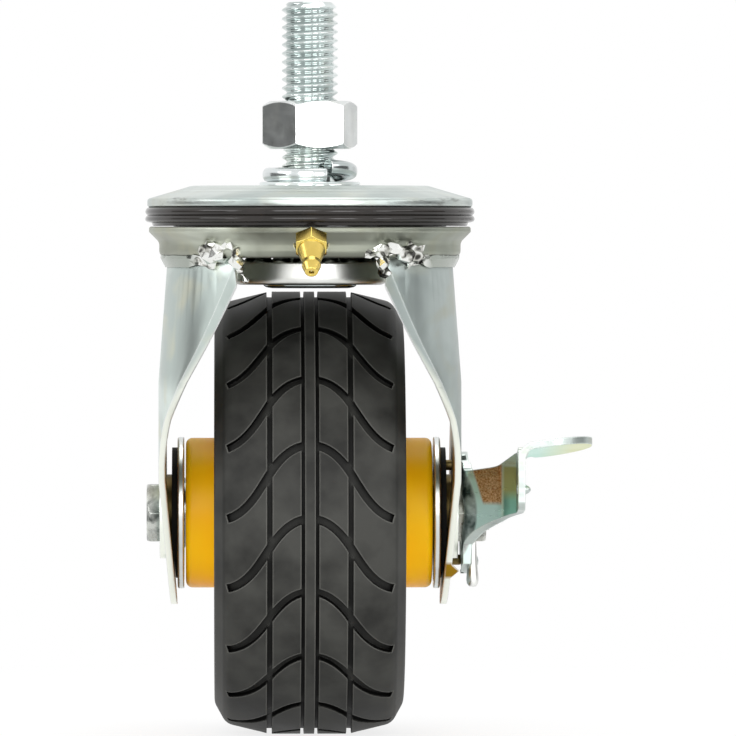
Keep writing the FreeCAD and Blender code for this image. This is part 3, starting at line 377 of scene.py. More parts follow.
# finishes of the metal pieces
axle = (0.0, 0.035, -0.094)
aroundStem = ((0, 0, 0), (1, 1, 0))  # a point on the axis, and the directions across it
aroundAxle = (axle, (0, 1, 1))
metals = {
    "zincSteel": {
        "dark": (0.36, 0.41, 0.39), "light": (0.60, 0.66, 0.63), "warm": (0.55, 0.54, 0.42),
        "rough": (0.26, 0.40), "edge": 0.00035, "grain": 0.12, "streak": (60, 60, 700),
    },
    "stemZinc": {
        "dark": (0.52, 0.58, 0.57), "light": (0.80, 0.86, 0.85), "warm": (0.70, 0.72, 0.62),
        "rough": (0.06, 0.14), "edge": None, "grain": 0.06, "streak": (60, 60, 400),
    },
    "nutZinc": {
        "dark": (0.66, 0.69, 0.68), "light": (0.80, 0.83, 0.82), "warm": (0.74, 0.74, 0.68),
        "rough": (0.12, 0.20), "edge": 0.0003, "grain": 0.25, "streak": (300, 300, 300),
    },
    "plateZinc": {
        "dark": (0.44, 0.50, 0.48), "light": (0.64, 0.69, 0.66), "warm": (0.58, 0.58, 0.48),
        "rough": (0.24, 0.42), "edge": 0.0005, "grain": 0.12, "around": aroundStem,
    },
    "cupZinc": {
        "dark": (0.62, 0.63, 0.60), "light": (0.94, 0.95, 0.92), "warm": (0.80, 0.78, 0.70),
        "rough": (0.26, 0.40), "edge": 0.0003, "grain": 0.12, "around": aroundStem,
    },
    "boltZinc": {
        "dark": (0.12, 0.13, 0.12), "light": (0.66, 0.68, 0.64), "warm": (0.50, 0.48, 0.38),
        "rough": (0.22, 0.36), "edge": 0.0003, "grain": 0.2, "streak": (500, 500, 500),
        "patch": 230,
    },
    # painted shade: the bushes and push pins are near-black brown, so the gap between disc and leg
    # reads as shadow
    "bushShadeSteel": {
        "dark": (0.07, 0.05, 0.02), "light": (0.24, 0.18, 0.07), "warm": (0.20, 0.13, 0.04),
        "rough": (0.34, 0.50), "edge": None, "grain": 0.12, "around": aroundAxle,
    },
    "legZinc": {
        "dark": (0.52, 0.59, 0.56), "light": (0.76, 0.84, 0.80), "warm": (0.72, 0.71, 0.54),
        "rough": (0.30, 0.46), "edge": 0.00035, "grain": 0.14, "streak": (130, 130, 16),
    },
    "guardZinc": {
        "dark": (0.50, 0.54, 0.54), "light": (0.76, 0.80, 0.79), "warm": (0.66, 0.64, 0.52),
        "rough": (0.16, 0.30), "edge": 0.0003, "grain": 0.1, "around": aroundAxle,
    },
    "brightZinc": {
        "dark": (0.50, 0.56, 0.56), "light": (0.76, 0.80, 0.80), "warm": (0.70, 0.70, 0.62),
        "rough": (0.14, 0.26), "edge": 0.0003, "grain": 0.08, "streak": (60, 60, 700),
    },
    "warmZinc": {
        "dark": (0.27, 0.28, 0.23), "light": (0.56, 0.59, 0.51), "warm": (0.50, 0.49, 0.36),
        "rough": (0.32, 0.50), "edge": 0.0004, "grain": 0.25, "around": aroundStem,
    },
    "weldSteel": {
        "dark": (0.20, 0.21, 0.18), "light": (0.74, 0.76, 0.71), "warm": (0.50, 0.47, 0.36),
        "rough": (0.10, 0.30), "edge": None, "grain": 0.2, "streak": (300, 300, 300),
    },
    "plainSteel": {
        "dark": (0.30, 0.31, 0.31), "light": (0.50, 0.51, 0.51), "warm": (0.46, 0.44, 0.38),
        "rough": (0.24, 0.38), "edge": 0.0003, "grain": 0.15, "around": aroundAxle,
    },
    "ballSteel": {
        "dark": (0.58, 0.59, 0.60), "light": (0.72, 0.73, 0.74), "warm": (0.68, 0.68, 0.66),
        "rough": (0.06, 0.12), "edge": None, "grain": 0.03, "streak": (200, 200, 200),
    },
    "brass": {
        "dark": (0.50, 0.33, 0.05), "light": (0.86, 0.64, 0.17), "warm": (0.74, 0.50, 0.10),
        "rough": (0.16, 0.28), "edge": 0.0002, "grain": 0.1, "streak": (200, 200, 200),
    },
}


metalLook = {  # what all the metals share
    "patch": 42, "patchTwist": 0.6, "toneStops": (0.34, 0.56, 0.75), "lathe": 900, "fine": 1800,
    "brushed": (0.84, 1.0), "warmScale": 70, "warmTwist": 1.0, "warmMost": 0.6,
    "warmFrom": (0.52, 0.74), "wornWidth": 1.4, "wornLight": 1.25, "wornMost": 0.92,
    "fineDepth": 0.00004, "dent": 0.15, "dentDepth": 0.0004,
}


def makeMetal(name, spec, overlay=None):
    look = metalLook
    mat, tree, shader, place = newFinish(name, spec["light"], spec["rough"][0], metallic=1.0)
    scale = spec.get("patch", look["patch"])
    patches = cloud(tree, place, scale, detail=3, twist=look["patchTwist"])
    if "around" in spec:
        streaks = lathed(tree, rounds(tree, place, *spec["around"]), look["lathe"])
    else:
        streaks = cloud(tree, stretched(tree, place, spec["streak"]), 1.0, detail=4)
    fine = cloud(tree, place, look["fine"], detail=2)
    tones = (spec["dark"], spec["light"], spec["light"])
    tone = ramp(tree, patches, list(zip(look["toneStops"], tones)))
    warmth = cloud(tree, place, look["warmScale"], detail=2, twist=look["warmTwist"])
    warmth = spread(tree, warmth, 0.0, look["warmMost"], *look["warmFrom"])
    tone = mixed(tree, warmth, tone, spec["warm"])
    tone = mixed(tree, 1.0, tone, spread(tree, streaks, *look["brushed"]), "MULTIPLY")
    if overlay:
        tone = overlay(tree, tone)
    if spec["edge"]:
        worn = edgeMask(tree, spec["edge"] * look["wornWidth"])
        pale = tuple(min(look["wornMost"], look["wornLight"] * c) for c in spec["light"])
        tone = mixed(tree, worn, tone, pale)
    tree.links.new(tone, shader.inputs["Base Color"])
    tree.links.new(spread(tree, streaks, *spec["rough"]), shader.inputs["Roughness"])
    layers = [
        (fine, spec["grain"], look["fineDepth"]),
        (patches, look["dent"], look["dentDepth"]),
    ]
    bump(tree, shader, layers, spec["edge"])
    return mat


# painted shade: darker colour in the thread's root, along the threaded length
threadRootShade = {
    "radius": 0.00562, "soft": 0.00018, "from": -0.0158, "fromSoft": 0.0004,
    "share": 0.08, "paintedShade": (0.07, 0.08, 0.08),
}


def shadeThreadRoot(tree, tone):
    look = threadRootShade
    root = until(tree, rounds(tree, coordinates(tree), *aroundStem), look["radius"], look["soft"])
    above = step(tree, objectParts(tree)["Z"], look["from"], look["fromSoft"])
    # painted shade: darkens the root of the thread
    return mixed(tree, multiplied(tree, root, above, look["share"]), tone, look["paintedShade"])


# burnt scale and painted reflections, dark and bright patches on the weld's lumps, and the crown's
# tone on its plain fillets
weldScaleAndReflections = {
    "scale": 380, "twist": 0.8,
    "scaleAndReflections": [
        (0.38, (0.05, 0.05, 0.045)), (0.46, (0.46, 0.46, 0.42)), (0.55, (0.86, 0.87, 0.84)),
    ],
    "filletFrom": 0.0262, "soft": 0.0012, "fillet": (0.36, 0.39, 0.35),
}


def paintWeldScaleAndReflections(tree, tone):  # covers the plating's own tone
    look = weldScaleAndReflections
    scaleAndReflections = cloud(tree, coordinates(tree), look["scale"], detail=2, twist=look["twist"])
    # painted reflections mixed with burnt scale: dark and bright patches stand for facets
    # mirroring dark and light
    tone = ramp(tree, scaleAndReflections, look["scaleAndReflections"])
    aside = combined(tree, "ABSOLUTE", objectParts(tree)["X"])
    return mixed(tree, step(tree, aside, look["filletFrom"], look["soft"]), tone, look["fillet"])


# painted shade on the front of the crown: darker towards the middle and right, away from the left
# weld
crownFrontShade = {
    "half": 0.034, "ahead": 0.006, "soft": 0.006,
    "across": [
        (0.08, (1, 1, 1)), (0.26, (0.80, 0.80, 0.78)), (0.42, (0.40, 0.40, 0.38)),
        (0.60, (0.40, 0.40, 0.38)), (0.90, (0.62, 0.63, 0.62)),
    ],
}


def shadeCrownFront(tree, tone):
    look = crownFrontShade
    place = objectParts(tree)
    across = spread(tree, place["X"], 0.0, 1.0, -look["half"], look["half"])
    # painted shade: the front darkened across its width
    grey = mixed(tree, 1.0, tone, ramp(tree, across, look["across"]), "MULTIPLY")
    front = step(tree, multiplied(tree, place["Y"], -1.0), look["ahead"], look["soft"])
    return mixed(tree, front, tone, grey)


# painted reflections: dark streaks round the plate's rim
plateRimReflections = {
    "rim": 0.0349, "rimSoft": 0.0005, "stretch": (1, 1, 6), "scale": 75, "rough": 0.7,
    "from": 0.60, "fromSoft": 0.05, "share": 0.7, "paintedDark": (0.16, 0.16, 0.15),
}


def paintPlateRimReflections(tree, tone):
    look = plateRimReflections
    away = rounds(tree, coordinates(tree), *aroundStem)
    place = stretched(tree, coordinates(tree), look["stretch"])
    darkStreaks = cloud(tree, place, look["scale"], detail=5, rough=look["rough"])
    # painted reflection: dark streaks on the rim stand for dark things it mirrors
    share = multiplied(
        tree, step(tree, away, look["rim"], look["rimSoft"]),
        step(tree, darkStreaks, look["from"], look["fromSoft"]), look["share"],
    )
    return mixed(tree, share, tone, look["paintedDark"])


# right leg painted darker as shade, pale yellowish edges as a painted highlight, inner faces
# painted darker as shade and golden low down, and a golden pressed stop
legTintsAndPaintedLight = {
    "paintedDark": (0.62, 0.63, 0.64), "sideSoft": 0.001,
    "creamHighlight": (0.92, 0.95, 0.86), "edge": 0.45, "edgeSoft": 0.15,
    "inner": 0.75, "innerSoft": 0.15, "innerShare": 0.85, "innerShade": (0.46, 0.50, 0.40),
    "goldenShade": (0.36, 0.27, 0.10), "goldBelow": -0.0760, "goldSoft": 0.0060,
    "stop": (0.33, 0.19, 0.012), "stopTop": -0.1050, "stopLow": -0.1084, "stopInner": 0.0308,
    "stopSoft": 0.0004, "stopEnd": 0.0270, "stopEndSoft": 0.0006,
}


def tintLegAndPaintLight(tree, tone):
    look = legTintsAndPaintedLight
    place = objectParts(tree)
    # painted shade: the right leg is a darker copy of the left
    right = step(tree, place["X"], 0.0, look["sideSoft"])
    tone = mixed(tree, right, tone, mixed(tree, 1.0, tone, look["paintedDark"], "MULTIPLY"))
    # a sheet's face looks away from the stem ahead of it, and straight aside behind it
    away = vectorMath(tree, "MINIMUM", coordinates(tree), (1, 0, 1))
    away = vectorMath(tree, "NORMALIZE", vectorMath(tree, "MULTIPLY", away, (1, 1, 0)))
    facing = vectorMath(tree, "DOT_PRODUCT", away, coordinates(tree, "Normal"))
    edge = until(tree, combined(tree, "ABSOLUTE", facing), look["edge"], look["edgeSoft"])
    # painted highlight: pale yellowish on the sheet's cut edges
    tone = mixed(tree, edge, tone, look["creamHighlight"])
    side = spread(tree, right, -1.0, 1.0, 0.0, 1.0)
    inward = multiplied(tree, objectParts(tree, "Normal")["X"], side, -1.0)
    # painted shade: inner faces darker, golden below the hub's top
    inner = step(tree, inward, look["inner"], look["innerSoft"])
    below = until(tree, place["Z"], look["goldBelow"], look["goldSoft"])
    goldenShade = mixed(tree, below, look["innerShade"], look["goldenShade"])
    tone = mixed(tree, multiplied(tree, inner, look["innerShare"]), tone, goldenShade)
    stop = multiplied(
        tree, until(tree, place["Z"], look["stopTop"], look["stopSoft"]),
        step(tree, place["Z"], look["stopLow"], look["stopSoft"]),
        step(tree, place["X"], look["stopInner"], look["stopSoft"]),
        until(tree, place["Y"], look["stopEnd"], look["stopEndSoft"]),
    )
    return mixed(tree, stop, tone, look["stop"])


# colour overlays per metal: real stains and painted light, each marked where it is made
overlays = {
    "stemZinc": shadeThreadRoot, "weldSteel": paintWeldScaleAndReflections, "legZinc": tintLegAndPaintLight,
    "warmZinc": shadeCrownFront, "plateZinc": paintPlateRimReflections,
}
finishes = {name: makeMetal(name, spec, overlays.get(name)) for name, spec in metals.items()}


# the brake arm: painted shade with painted reflections in the dished bend, a speckled brown upper
# web, olive and teal towards the pad with painted shade on the teal, and a painted highlight along
# the crease
armTintsAndPaintedLight = {
    "frontFacing": 0.22, "frontSoft": 0.08, "flatFacing": 0.4, "flatSoft": 0.05,
    "end": 0.0472, "endSoft": 0.0002, "soft": 0.00025,
    "bend": 0.0383, "bendLevel": -0.0937, "bendCurve": 30.0, "bendMost": 0.0030,
    "shade": (0.05, 0.07, 0.065), "hollowReflection": (0.62, 0.64, 0.62), "gleam": 230,
    "gleamStops": (0.42, 0.66),
    "brown": (0.50, 0.19, 0.06), "brownLight": (0.86, 0.52, 0.28), "specks": 2600,
    "speckStops": (0.38, 0.64), "brownLow": -0.0915, "brownFrom": 0.0372, "brownLean": 0.30,
    "pale": (0.72, 0.88, 0.82), "bareAndCreaseHighlight": (0.80, 0.90, 0.78), "crease": 0.0439, "ridge": 0.0004,
    "teal": (0.42, 0.76, 0.63), "tealShade": (0.12, 0.24, 0.19), "tealFrom": 0.0449,
    "tealSoft": 0.0010, "olive": (0.58, 0.60, 0.29), "oliveFrom": -0.0895, "oliveSoft": 0.0012,
    "oliveTop": -0.0830,
    "underMint": (0.50, 0.80, 0.68), "underStraw": (0.72, 0.76, 0.42), "underFacing": 0.7,
    "underFacingSoft": 0.1, "underFrom": 0.0490, "underSoft": 0.0005, "underLevel": -0.0850,
    "underLevelSoft": 0.0010, "strawFrom": 0.0560, "strawSoft": 0.0040,
}


def tintArmAndPaintLight(tree, tone):
    look = armTintsAndPaintedLight
    soft = look["soft"]
    place, face = objectParts(tree), objectParts(tree, "Normal")
    x, z = place["X"], place["Z"]
    front = step(tree, multiplied(tree, face["Y"], -1.0), look["frontFacing"], look["frontSoft"])
    upright = combined(tree, "ABSOLUTE", face["Z"])
    upright = until(tree, upright, look["flatFacing"], look["flatSoft"])
    specks = cloud(tree, coordinates(tree), look["specks"], detail=3)
    speckledBrown = ramp(tree, specks, list(zip(look["speckStops"], (look["brown"], look["brownLight"]))))
    slant = combined(tree, "SUBTRACT", z, look["oliveTop"])
    slant = combined(tree, "ADD", x, multiplied(tree, slant, look["brownLean"]))
    above = multiplied(
        tree, step(tree, z, look["brownLow"], soft * 2), step(tree, slant, look["brownFrom"], soft)
    )
    web = mixed(tree, above, look["pale"], speckledBrown)
    # painted shade: the teal darker towards the bend
    teal = step(tree, x, look["tealFrom"], look["tealSoft"])
    panel = mixed(tree, teal, look["tealShade"], look["teal"])
    olive = step(tree, z, look["oliveFrom"], look["oliveSoft"])
    panel = mixed(tree, olive, panel, look["olive"])
    panel = mixed(tree, step(tree, z, look["oliveTop"], soft), panel, look["bareAndCreaseHighlight"])
    # painted highlight: a pale line along the crease
    ridge = until(tree, x, look["crease"] + look["ridge"], soft)
    panel = mixed(tree, ridge, panel, look["bareAndCreaseHighlight"])
    web = mixed(tree, step(tree, x, look["crease"], soft), web, panel)
    # painted shade with painted reflections in the dished bend
    gleam = cloud(tree, coordinates(tree), look["gleam"], detail=3)
    shades = (look["shade"], look["hollowReflection"])
    hollowShadeAndReflection = ramp(tree, gleam, list(zip(look["gleamStops"], shades)))
    rise = combined(tree, "SUBTRACT", z, look["bendLevel"])
    curve = multiplied(tree, multiplied(tree, rise, rise), look["bendCurve"])
    curve = combined(tree, "MINIMUM", curve, look["bendMost"])
    beyondBend = step(tree, combined(tree, "ADD", x, curve), look["bend"], soft)
    web = mixed(tree, beyondBend, hollowShadeAndReflection, web)
    onArm = multiplied(tree, front, upright, until(tree, x, look["end"], look["endSoft"]))
    tone = mixed(tree, onArm, tone, web)
    downward = multiplied(tree, face["Z"], -1.0)
    under = multiplied(
        tree, step(tree, downward, look["underFacing"], look["underFacingSoft"]),
        step(tree, x, look["underFrom"], look["underSoft"]),
        step(tree, z, look["underLevel"], look["underLevelSoft"]),
    )
    straw = step(tree, x, look["strawFrom"], look["strawSoft"])
    return mixed(tree, under, tone, mixed(tree, straw, look["underMint"], look["underStraw"]))


finishes["armZinc"] = makeMetal("armZinc", metals["zincSteel"], tintArmAndPaintLight)


# tyre: dark tread, grooves painted near-black as shade, and painted highlights along their rims
tyreSpec = {
    "baseBlack": (0.019, 0.019, 0.0175), "worn": (0.046, 0.046, 0.042), "wornStops": (0.35, 0.65),
    "groove": (0.0012, 0.0012, 0.001), "rim": (0.12, 0.12, 0.11), "rimWidth": 0.0006,
    "rough": (0.46, 0.62), "specular": 0.14, "patches": 90, "fine": 2600,
    "wallFacing": (0.30, 0.75), "treadFrom": 0.0452, "treadSoft": 0.0002,
    "treadHalf": 0.0196, "sideSoft": 0.0003, "crevice": 0.0022, "creviceSamples": 6,
    "creviceOpen": (0.40, 0.96), "rimOpen": 0.72, "rimSoft": 0.08,
    "grain": 0.25, "grainDepth": 0.00005, "edge": 0.0004,
}


def makeTyreFinish():
    look = tyreSpec
    mat, tree, shader, place = newFinish(
        "tyreRubber", look["baseBlack"], look["rough"][0], specular=look["specular"]
    )
    patches = cloud(tree, place, look["patches"], detail=4)
    tone = ramp(tree, patches, list(zip(look["wornStops"], (look["baseBlack"], look["worn"]))))
    outward = vectorMath(tree, "SUBTRACT", place, axle)
    outward = vectorMath(tree, "NORMALIZE", vectorMath(tree, "MULTIPLY", outward, (0, 1, 1)))
    facing = vectorMath(tree, "DOT_PRODUCT", coordinates(tree, "Normal"), outward)
    wall = spread(tree, facing, 1.0, 0.0, *look["wallFacing"])
    onTread = step(tree, rounds(tree, place, *aroundAxle), look["treadFrom"], look["treadSoft"])
    aside = combined(tree, "ABSOLUTE", objectParts(tree)["X"])
    inTread = until(tree, aside, look["treadHalf"], look["sideSoft"])
    # painted shade: the walls of the grooves near-black
    tone = mixed(tree, multiplied(tree, onTread, inTread, wall), tone, look["groove"])
    crevice = tree.nodes.new("ShaderNodeAmbientOcclusion")
    crevice.samples = look["creviceSamples"]
    crevice.only_local = True
    crevice.inputs["Distance"].default_value = look["crevice"]
    openness = spread(tree, crevice.outputs["AO"], 0.0, 1.0, *look["creviceOpen"])
    # painted shade: darker where the occlusion node finds a crevice
    tone = mixed(tree, openness, look["groove"], tone)
    rim = multiplied(
        tree, edgeMask(tree, look["rimWidth"]),
        step(tree, crevice.outputs["AO"], look["rimOpen"], look["rimSoft"]), inTread,
    )
    # painted highlight: pale lines along the rims of the grooves
    tone = mixed(tree, rim, tone, look["rim"])
    tree.links.new(tone, shader.inputs["Base Color"])
    tree.links.new(spread(tree, patches, *look["rough"]), shader.inputs["Roughness"])
    fine = cloud(tree, place, look["fine"], detail=3)
    bump(tree, shader, [(fine, look["grain"], look["grainDepth"])], look["edge"])
    return mat


# smooth black finishes: the glossy seal, and the matt black covers put in as painted shade
blackFinishes = {
    "sealRubber": {
        "baseBlack": (0.008, 0.007, 0.006), "light": (0.018, 0.015, 0.013),
        "rough": (0.08, 0.17), "gloss": 0.42,
    },
    # painted shade: the covers' black
    "shadeCoverBlack": {
        "baseBlack": (0.004, 0.004, 0.004), "light": (0.009, 0.009, 0.008),
        "rough": (0.55, 0.7), "gloss": 0.12,
    },
}
blackLook = {
    "patches": 120, "stops": (0.3, 0.7), "fine": 900, "grain": 0.12, "grainDepth": 0.00006,
}


def makeBlackFinish(name, spec):
    look = blackLook
    rough = spec["rough"]
    mat, tree, shader, place = newFinish(name, spec["baseBlack"], rough[0], specular=spec["gloss"])
    patches = cloud(tree, place, look["patches"], detail=3)
    tree.links.new(spread(tree, patches, *rough), shader.inputs["Roughness"])
    tone = ramp(tree, patches, list(zip(look["stops"], (spec["baseBlack"], spec["light"]))))
    tree.links.new(tone, shader.inputs["Base Color"])
    fine = cloud(tree, place, look["fine"], detail=2)
    bump(tree, shader, [(fine, look["grain"], look["grainDepth"])])
    return mat


# moulded amber core
coreSpec = {
    "low": (1.0, 0.60, 0.0015), "high": (0.98, 0.50, 0.0008), "stops": (0.25, 0.62),
    "rough": (0.34, 0.46), "specular": 0.18, "inside": 0.06, "reach": (0.0012, 0.0005, 0.0001),
    "patches": 60, "fine": 1500, "grain": 0.10, "grainDepth": 0.00005, "edge": 0.0004,
}


def makeCoreFinish():
    look = coreSpec
    mat, tree, shader, place = newFinish(
        "amberCore", look["low"], look["rough"][0], specular=look["specular"]
    )
    shader.inputs["Subsurface Weight"].default_value = look["inside"]
    shader.inputs["Subsurface Radius"].default_value = look["reach"]
    shader.inputs["Subsurface Scale"].default_value = 1.0
    patches = cloud(tree, place, look["patches"], detail=3)
    tone = ramp(tree, patches, list(zip(look["stops"], (look["high"], look["low"]))))
    tree.links.new(tone, shader.inputs["Base Color"])
    tree.links.new(spread(tree, patches, *look["rough"]), shader.inputs["Roughness"])
    fine = cloud(tree, place, look["fine"], detail=2)
    bump(tree, shader, [(fine, look["grain"], look["grainDepth"])], look["edge"])
    return mat


finishes["tyreRubber"] = makeTyreFinish()
for blackName, blackSpec in blackFinishes.items():
    finishes[blackName] = makeBlackFinish(blackName, blackSpec)
finishes["amberCore"] = makeCoreFinish()

finishOfSlot = {
    "zinc_steel": "zincSteel", "bright_zinc": "brightZinc", "warm_zinc": "warmZinc",
    "weld": "weldSteel", "plain_steel": "plainSteel", "ball_steel": "ballSteel", "brass": "brass",
    "seal_rubber": "sealRubber", "tyre": "tyreRubber", "core": "amberCore",
}
slotOfNode = {part["node"]: part["material_slot"] for part in frame["record"]["subparts"]}
finishOfNode = {name: finishOfSlot[slot] for name, slot in slotOfNode.items()}
finishOfNode.update({
    "threaded_stem": "stemZinc", "stem_nut": "nutZinc", "top_plate": "plateZinc",
    "lower_race_cup": "cupZinc", "detent_wire": "cupZinc",
    "brake_bush": "bushShadeSteel", "guard_bush": "bushShadeSteel", "brake_push_pins": "bushShadeSteel",
    "axle_bolt": "boltZinc", "axle_nut": "boltZinc",
    "fork_leg_left": "legZinc", "fork_leg_right": "legZinc",
    "thread_guard": "guardZinc", "brake_disc": "guardZinc", "brake_lever": "armZinc",
})


def dressNode(name):
    obj = nodes[name]
    obj.data.materials.clear()
    obj.data.materials.append(finishes[finishOfNode[name]])


for nodeName in nodes:
    dressNode(nodeName)
print("finishes:", len(finishes))


# help for the pieces made here
closeness = {"merge": 0.000003, "seam": 0.000002, "cut": 0.000001}


def newPiece(name, bm, finish, body, smooth=35, flatFrom=None):
    mesh = bpy.data.meshes.new(name)
    bm.to_mesh(mesh)
    bm.free()
    obj = bpy.data.objects.new(name, mesh)
    bpy.context.scene.collection.objects.link(obj)
    mesh.materials.append(finishes[finish])
    mesh.shade_smooth()
    mesh.set_sharp_from_angle(angle=math.radians(smooth))
    for face in mesh.polygons:
        face.use_smooth = flatFrom is None or face.area < flatFrom
    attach(obj, body)
    return obj


def finishPiece(name, bm, body, node, smooth=35, flatFrom=None):
    obj = newPiece(name, bm, finishOfNode[node], body, smooth, flatFrom)
    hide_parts(node)
    return obj


def fullTurn(bm, geom, centre, axis, steps):
    bmesh.ops.spin(
        bm, geom=geom, cent=centre, axis=axis, dvec=(0, 0, 0),
        angle=2 * math.pi, steps=steps, use_merge=True, use_duplicate=False,
    )


def revolved(bm, profile, steps, axis="Z", centre=(0, 0, 0)):
    verts = []
    for radius, along in profile:
        if axis == "Z":
            verts.append(bm.verts.new((centre[0] + radius, centre[1], centre[2] + along)))
        else:
            verts.append(bm.verts.new((centre[0] + along, centre[1], centre[2] + radius)))
    edges = [bm.edges.new((a, b)) for a, b in zip(verts, verts[1:])]
    fullTurn(bm, verts + edges, centre, (0, 0, 1) if axis == "Z" else (1, 0, 0), steps)
    bmesh.ops.remove_doubles(bm, verts=bm.verts, dist=closeness["seam"])


def cutAcross(bm, point, normal, clear=False):
    bmesh.ops.bisect_plane(
        bm, geom=bm.verts[:] + bm.edges[:] + bm.faces[:], dist=closeness["cut"],
        plane_co=point, plane_no=normal, clear_outer=clear,
    )


def openRim(bm):
    return [e for e in bm.edges if e.is_boundary]


# threaded stem: rolled thread, collar, shank and peened head
stem = {
    "major": 0.00635, "minor": 0.00522, "pitch": 0.0019538, "crestFlat": 0.16, "rootFlat": 0.12,
    "top": 0.0222, "bottom": -0.0160, "chamfer": 0.0013, "turnSteps": 48, "rowsPerTurn": 10,
    "nutTop": 0.0, "nutBottom": -0.0108, "nutMargin": 0.0002, "insideNut": 0.00588,
    "neck": 0.0056, "neckRise": 0.0021, "collar": 0.0114, "collarEdge": 0.0003, "shank": 0.008,
    "headEdge": [(0.0103, 0.0), (0.0105, 0.00015), (0.0104, 0.0003), (0.0099, 0.0006)],
    "headFace": [(0.0089, 0.0), (0.0045, 0.0), (0.0038, 0.0003), (0.0, 0.0004)],
    "steps": 64,
}


def threadRadius(z, angle):
    phase = ((z / stem["pitch"]) - angle / (2 * math.pi)) % 1.0
    rise = abs(phase - 0.5) * 2
    share = (rise - stem["rootFlat"]) / (1 - stem["rootFlat"] - stem["crestFlat"])
    share = max(0.0, min(1.0, share))
    return stem["minor"] + (stem["major"] - stem["minor"]) * share


def addThread(bm):
    rowStep = stem["pitch"] / stem["rowsPerTurn"]
    count = round((stem["top"] - stem["bottom"]) / rowStep)
    line = []
    for i in range(count + 1):
        line.append(bm.verts.new((stem["major"], 0, stem["bottom"] + i * rowStep)))
    for a, b in zip(line, line[1:]):
        bm.edges.new((a, b))
    fullTurn(bm, bm.verts[:] + bm.edges[:], (0, 0, 0), (0, 0, 1), stem["turnSteps"])
    for vert in bm.verts:
        angle = math.atan2(vert.co.y, vert.co.x)
        z = vert.co.z
        radius = threadRadius(z, angle)
        if stem["nutBottom"] - stem["nutMargin"] < z < stem["nutTop"] + stem["nutMargin"]:
            radius = min(radius, stem["insideNut"])
        radius = min(radius, stem["major"] - max(0.0, z - (stem["top"] - stem["chamfer"])))
        vert.co.x = radius * math.cos(angle)
        vert.co.y = radius * math.sin(angle)
    bmesh.ops.holes_fill(bm, edges=openRim(bm), sides=0)


def makeStem():
    bm = bmesh.new()
    addThread(bm)
    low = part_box("threaded_stem")[0].z
    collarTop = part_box("lock_washer")[0].z
    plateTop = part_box("top_plate")[1].z
    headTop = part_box("lower_race_cup")[0].z
    neckTop = collarTop + stem["neckRise"]
    profile = [
        (0, neckTop), (stem["neck"], neckTop), (stem["neck"], collarTop),
        (stem["collar"] - stem["collarEdge"], collarTop),
        (stem["collar"], collarTop - stem["collarEdge"]), (stem["collar"], plateTop),
        (stem["shank"], plateTop), (stem["shank"], headTop),
    ]
    profile += [(radius, headTop - drop) for radius, drop in stem["headEdge"]]
    profile += [(radius, low + rise) for radius, rise in stem["headFace"]]
    revolved(bm, profile, stem["steps"])
    bmesh.ops.recalc_face_normals(bm, faces=bm.faces)
    finishPiece("threadedStem", bm, "mount_plate", "threaded_stem", 50)


makeStem()
print("stem threaded")


# dust seal: two soft ridges, a short lip over the crown's rim and a deeper skirt inside it
seal = {
    "profile": [  # radius and level in millimetres
        (29.3, -23.85), (36.2, -23.85), (36.75, -24.1), (37.05, -24.5), (37.15, -24.95),
        (37.05, -25.35), (36.8, -25.65), (36.7, -25.75), (36.85, -25.9), (37.1, -26.2),
        (37.2, -26.6), (37.1, -26.95), (36.8, -27.2), (36.3, -27.35), (35.7, -27.45),
        (35.5, -28.05), (35.3, -28.12), (34.7, -28.12), (34.5, -28.0), (34.4, -27.35),
        (30.8, -27.3), (30.8, -29.7), (29.3, -29.7), (29.3, -23.85),
    ],
    "steps": 128,
}


def makeSeal():
    bm = bmesh.new()
    profile = [(radius / 1000, level / 1000) for radius, level in seal["profile"]]
    revolved(bm, profile, seal["steps"])
    bmesh.ops.recalc_face_normals(bm, faces=bm.faces)
    finishPiece("dustSeal", bm, "mount_plate", "dust_seal", 42)


makeSeal()
print("seal lipped")


# rounded copies of pressed and turned pieces: merged, flat faces joined, edges broken
copyLook = {"flatWithin": 0.6, "sharp": 28, "segments": 2}  # degrees


def nodeCopy(name, joined=True):
    bm = bmesh.new()
    bm.from_mesh(nodes[name].data)
    bmesh.ops.remove_doubles(bm, verts=bm.verts, dist=closeness["merge"])
    if joined:
        bmesh.ops.dissolve_limit(
            bm, angle_limit=math.radians(copyLook["flatWithin"]), verts=bm.verts,
            edges=bm.edges, use_dissolve_boundaries=False, delimit={"NORMAL"},
        )
    return bm


def breakEdges(bm, width):
    sharp = math.radians(copyLook["sharp"])
    edges = [e for e in bm.edges if len(e.link_faces) == 2 and e.calc_face_angle(0) > sharp]
    bmesh.ops.bevel(
        bm, geom=edges, offset=width, offset_type="OFFSET", segments=copyLook["segments"],
        profile=0.5, affect="EDGES", clamp_overlap=True, material=-1, miter_outer="SHARP",
    )


bodyOfNode = {}
for bodyName, members in frame["record"]["behaviour"]["bodies"].items():
    for member in members:
        bodyOfNode[member] = bodyName

softened = {
    "stem_nut": {"piece": "jamNut", "edge": 0.00022, "flatFrom": 0.00002},
    "axle_nut": {"piece": "axleNut", "edge": 0.00018, "flatFrom": 0.00002},
    "axle_bolt": {"piece": "axleBolt", "edge": 0.00018, "flatFrom": 0.00002},
    "fork_leg_left": {"piece": "legLeft", "edge": 0.00035, "flatFrom": None},
    "fork_leg_right": {"piece": "legRight", "edge": 0.00035, "flatFrom": None},
}

for nodeName, spec in softened.items():
    copyMesh = nodeCopy(nodeName)
    breakEdges(copyMesh, spec["edge"])
    piece = finishPiece(
        spec["piece"], copyMesh, bodyOfNode[nodeName], nodeName, 40, spec["flatFrom"]
    )
    print("rounded", nodeName, len(piece.data.polygons))


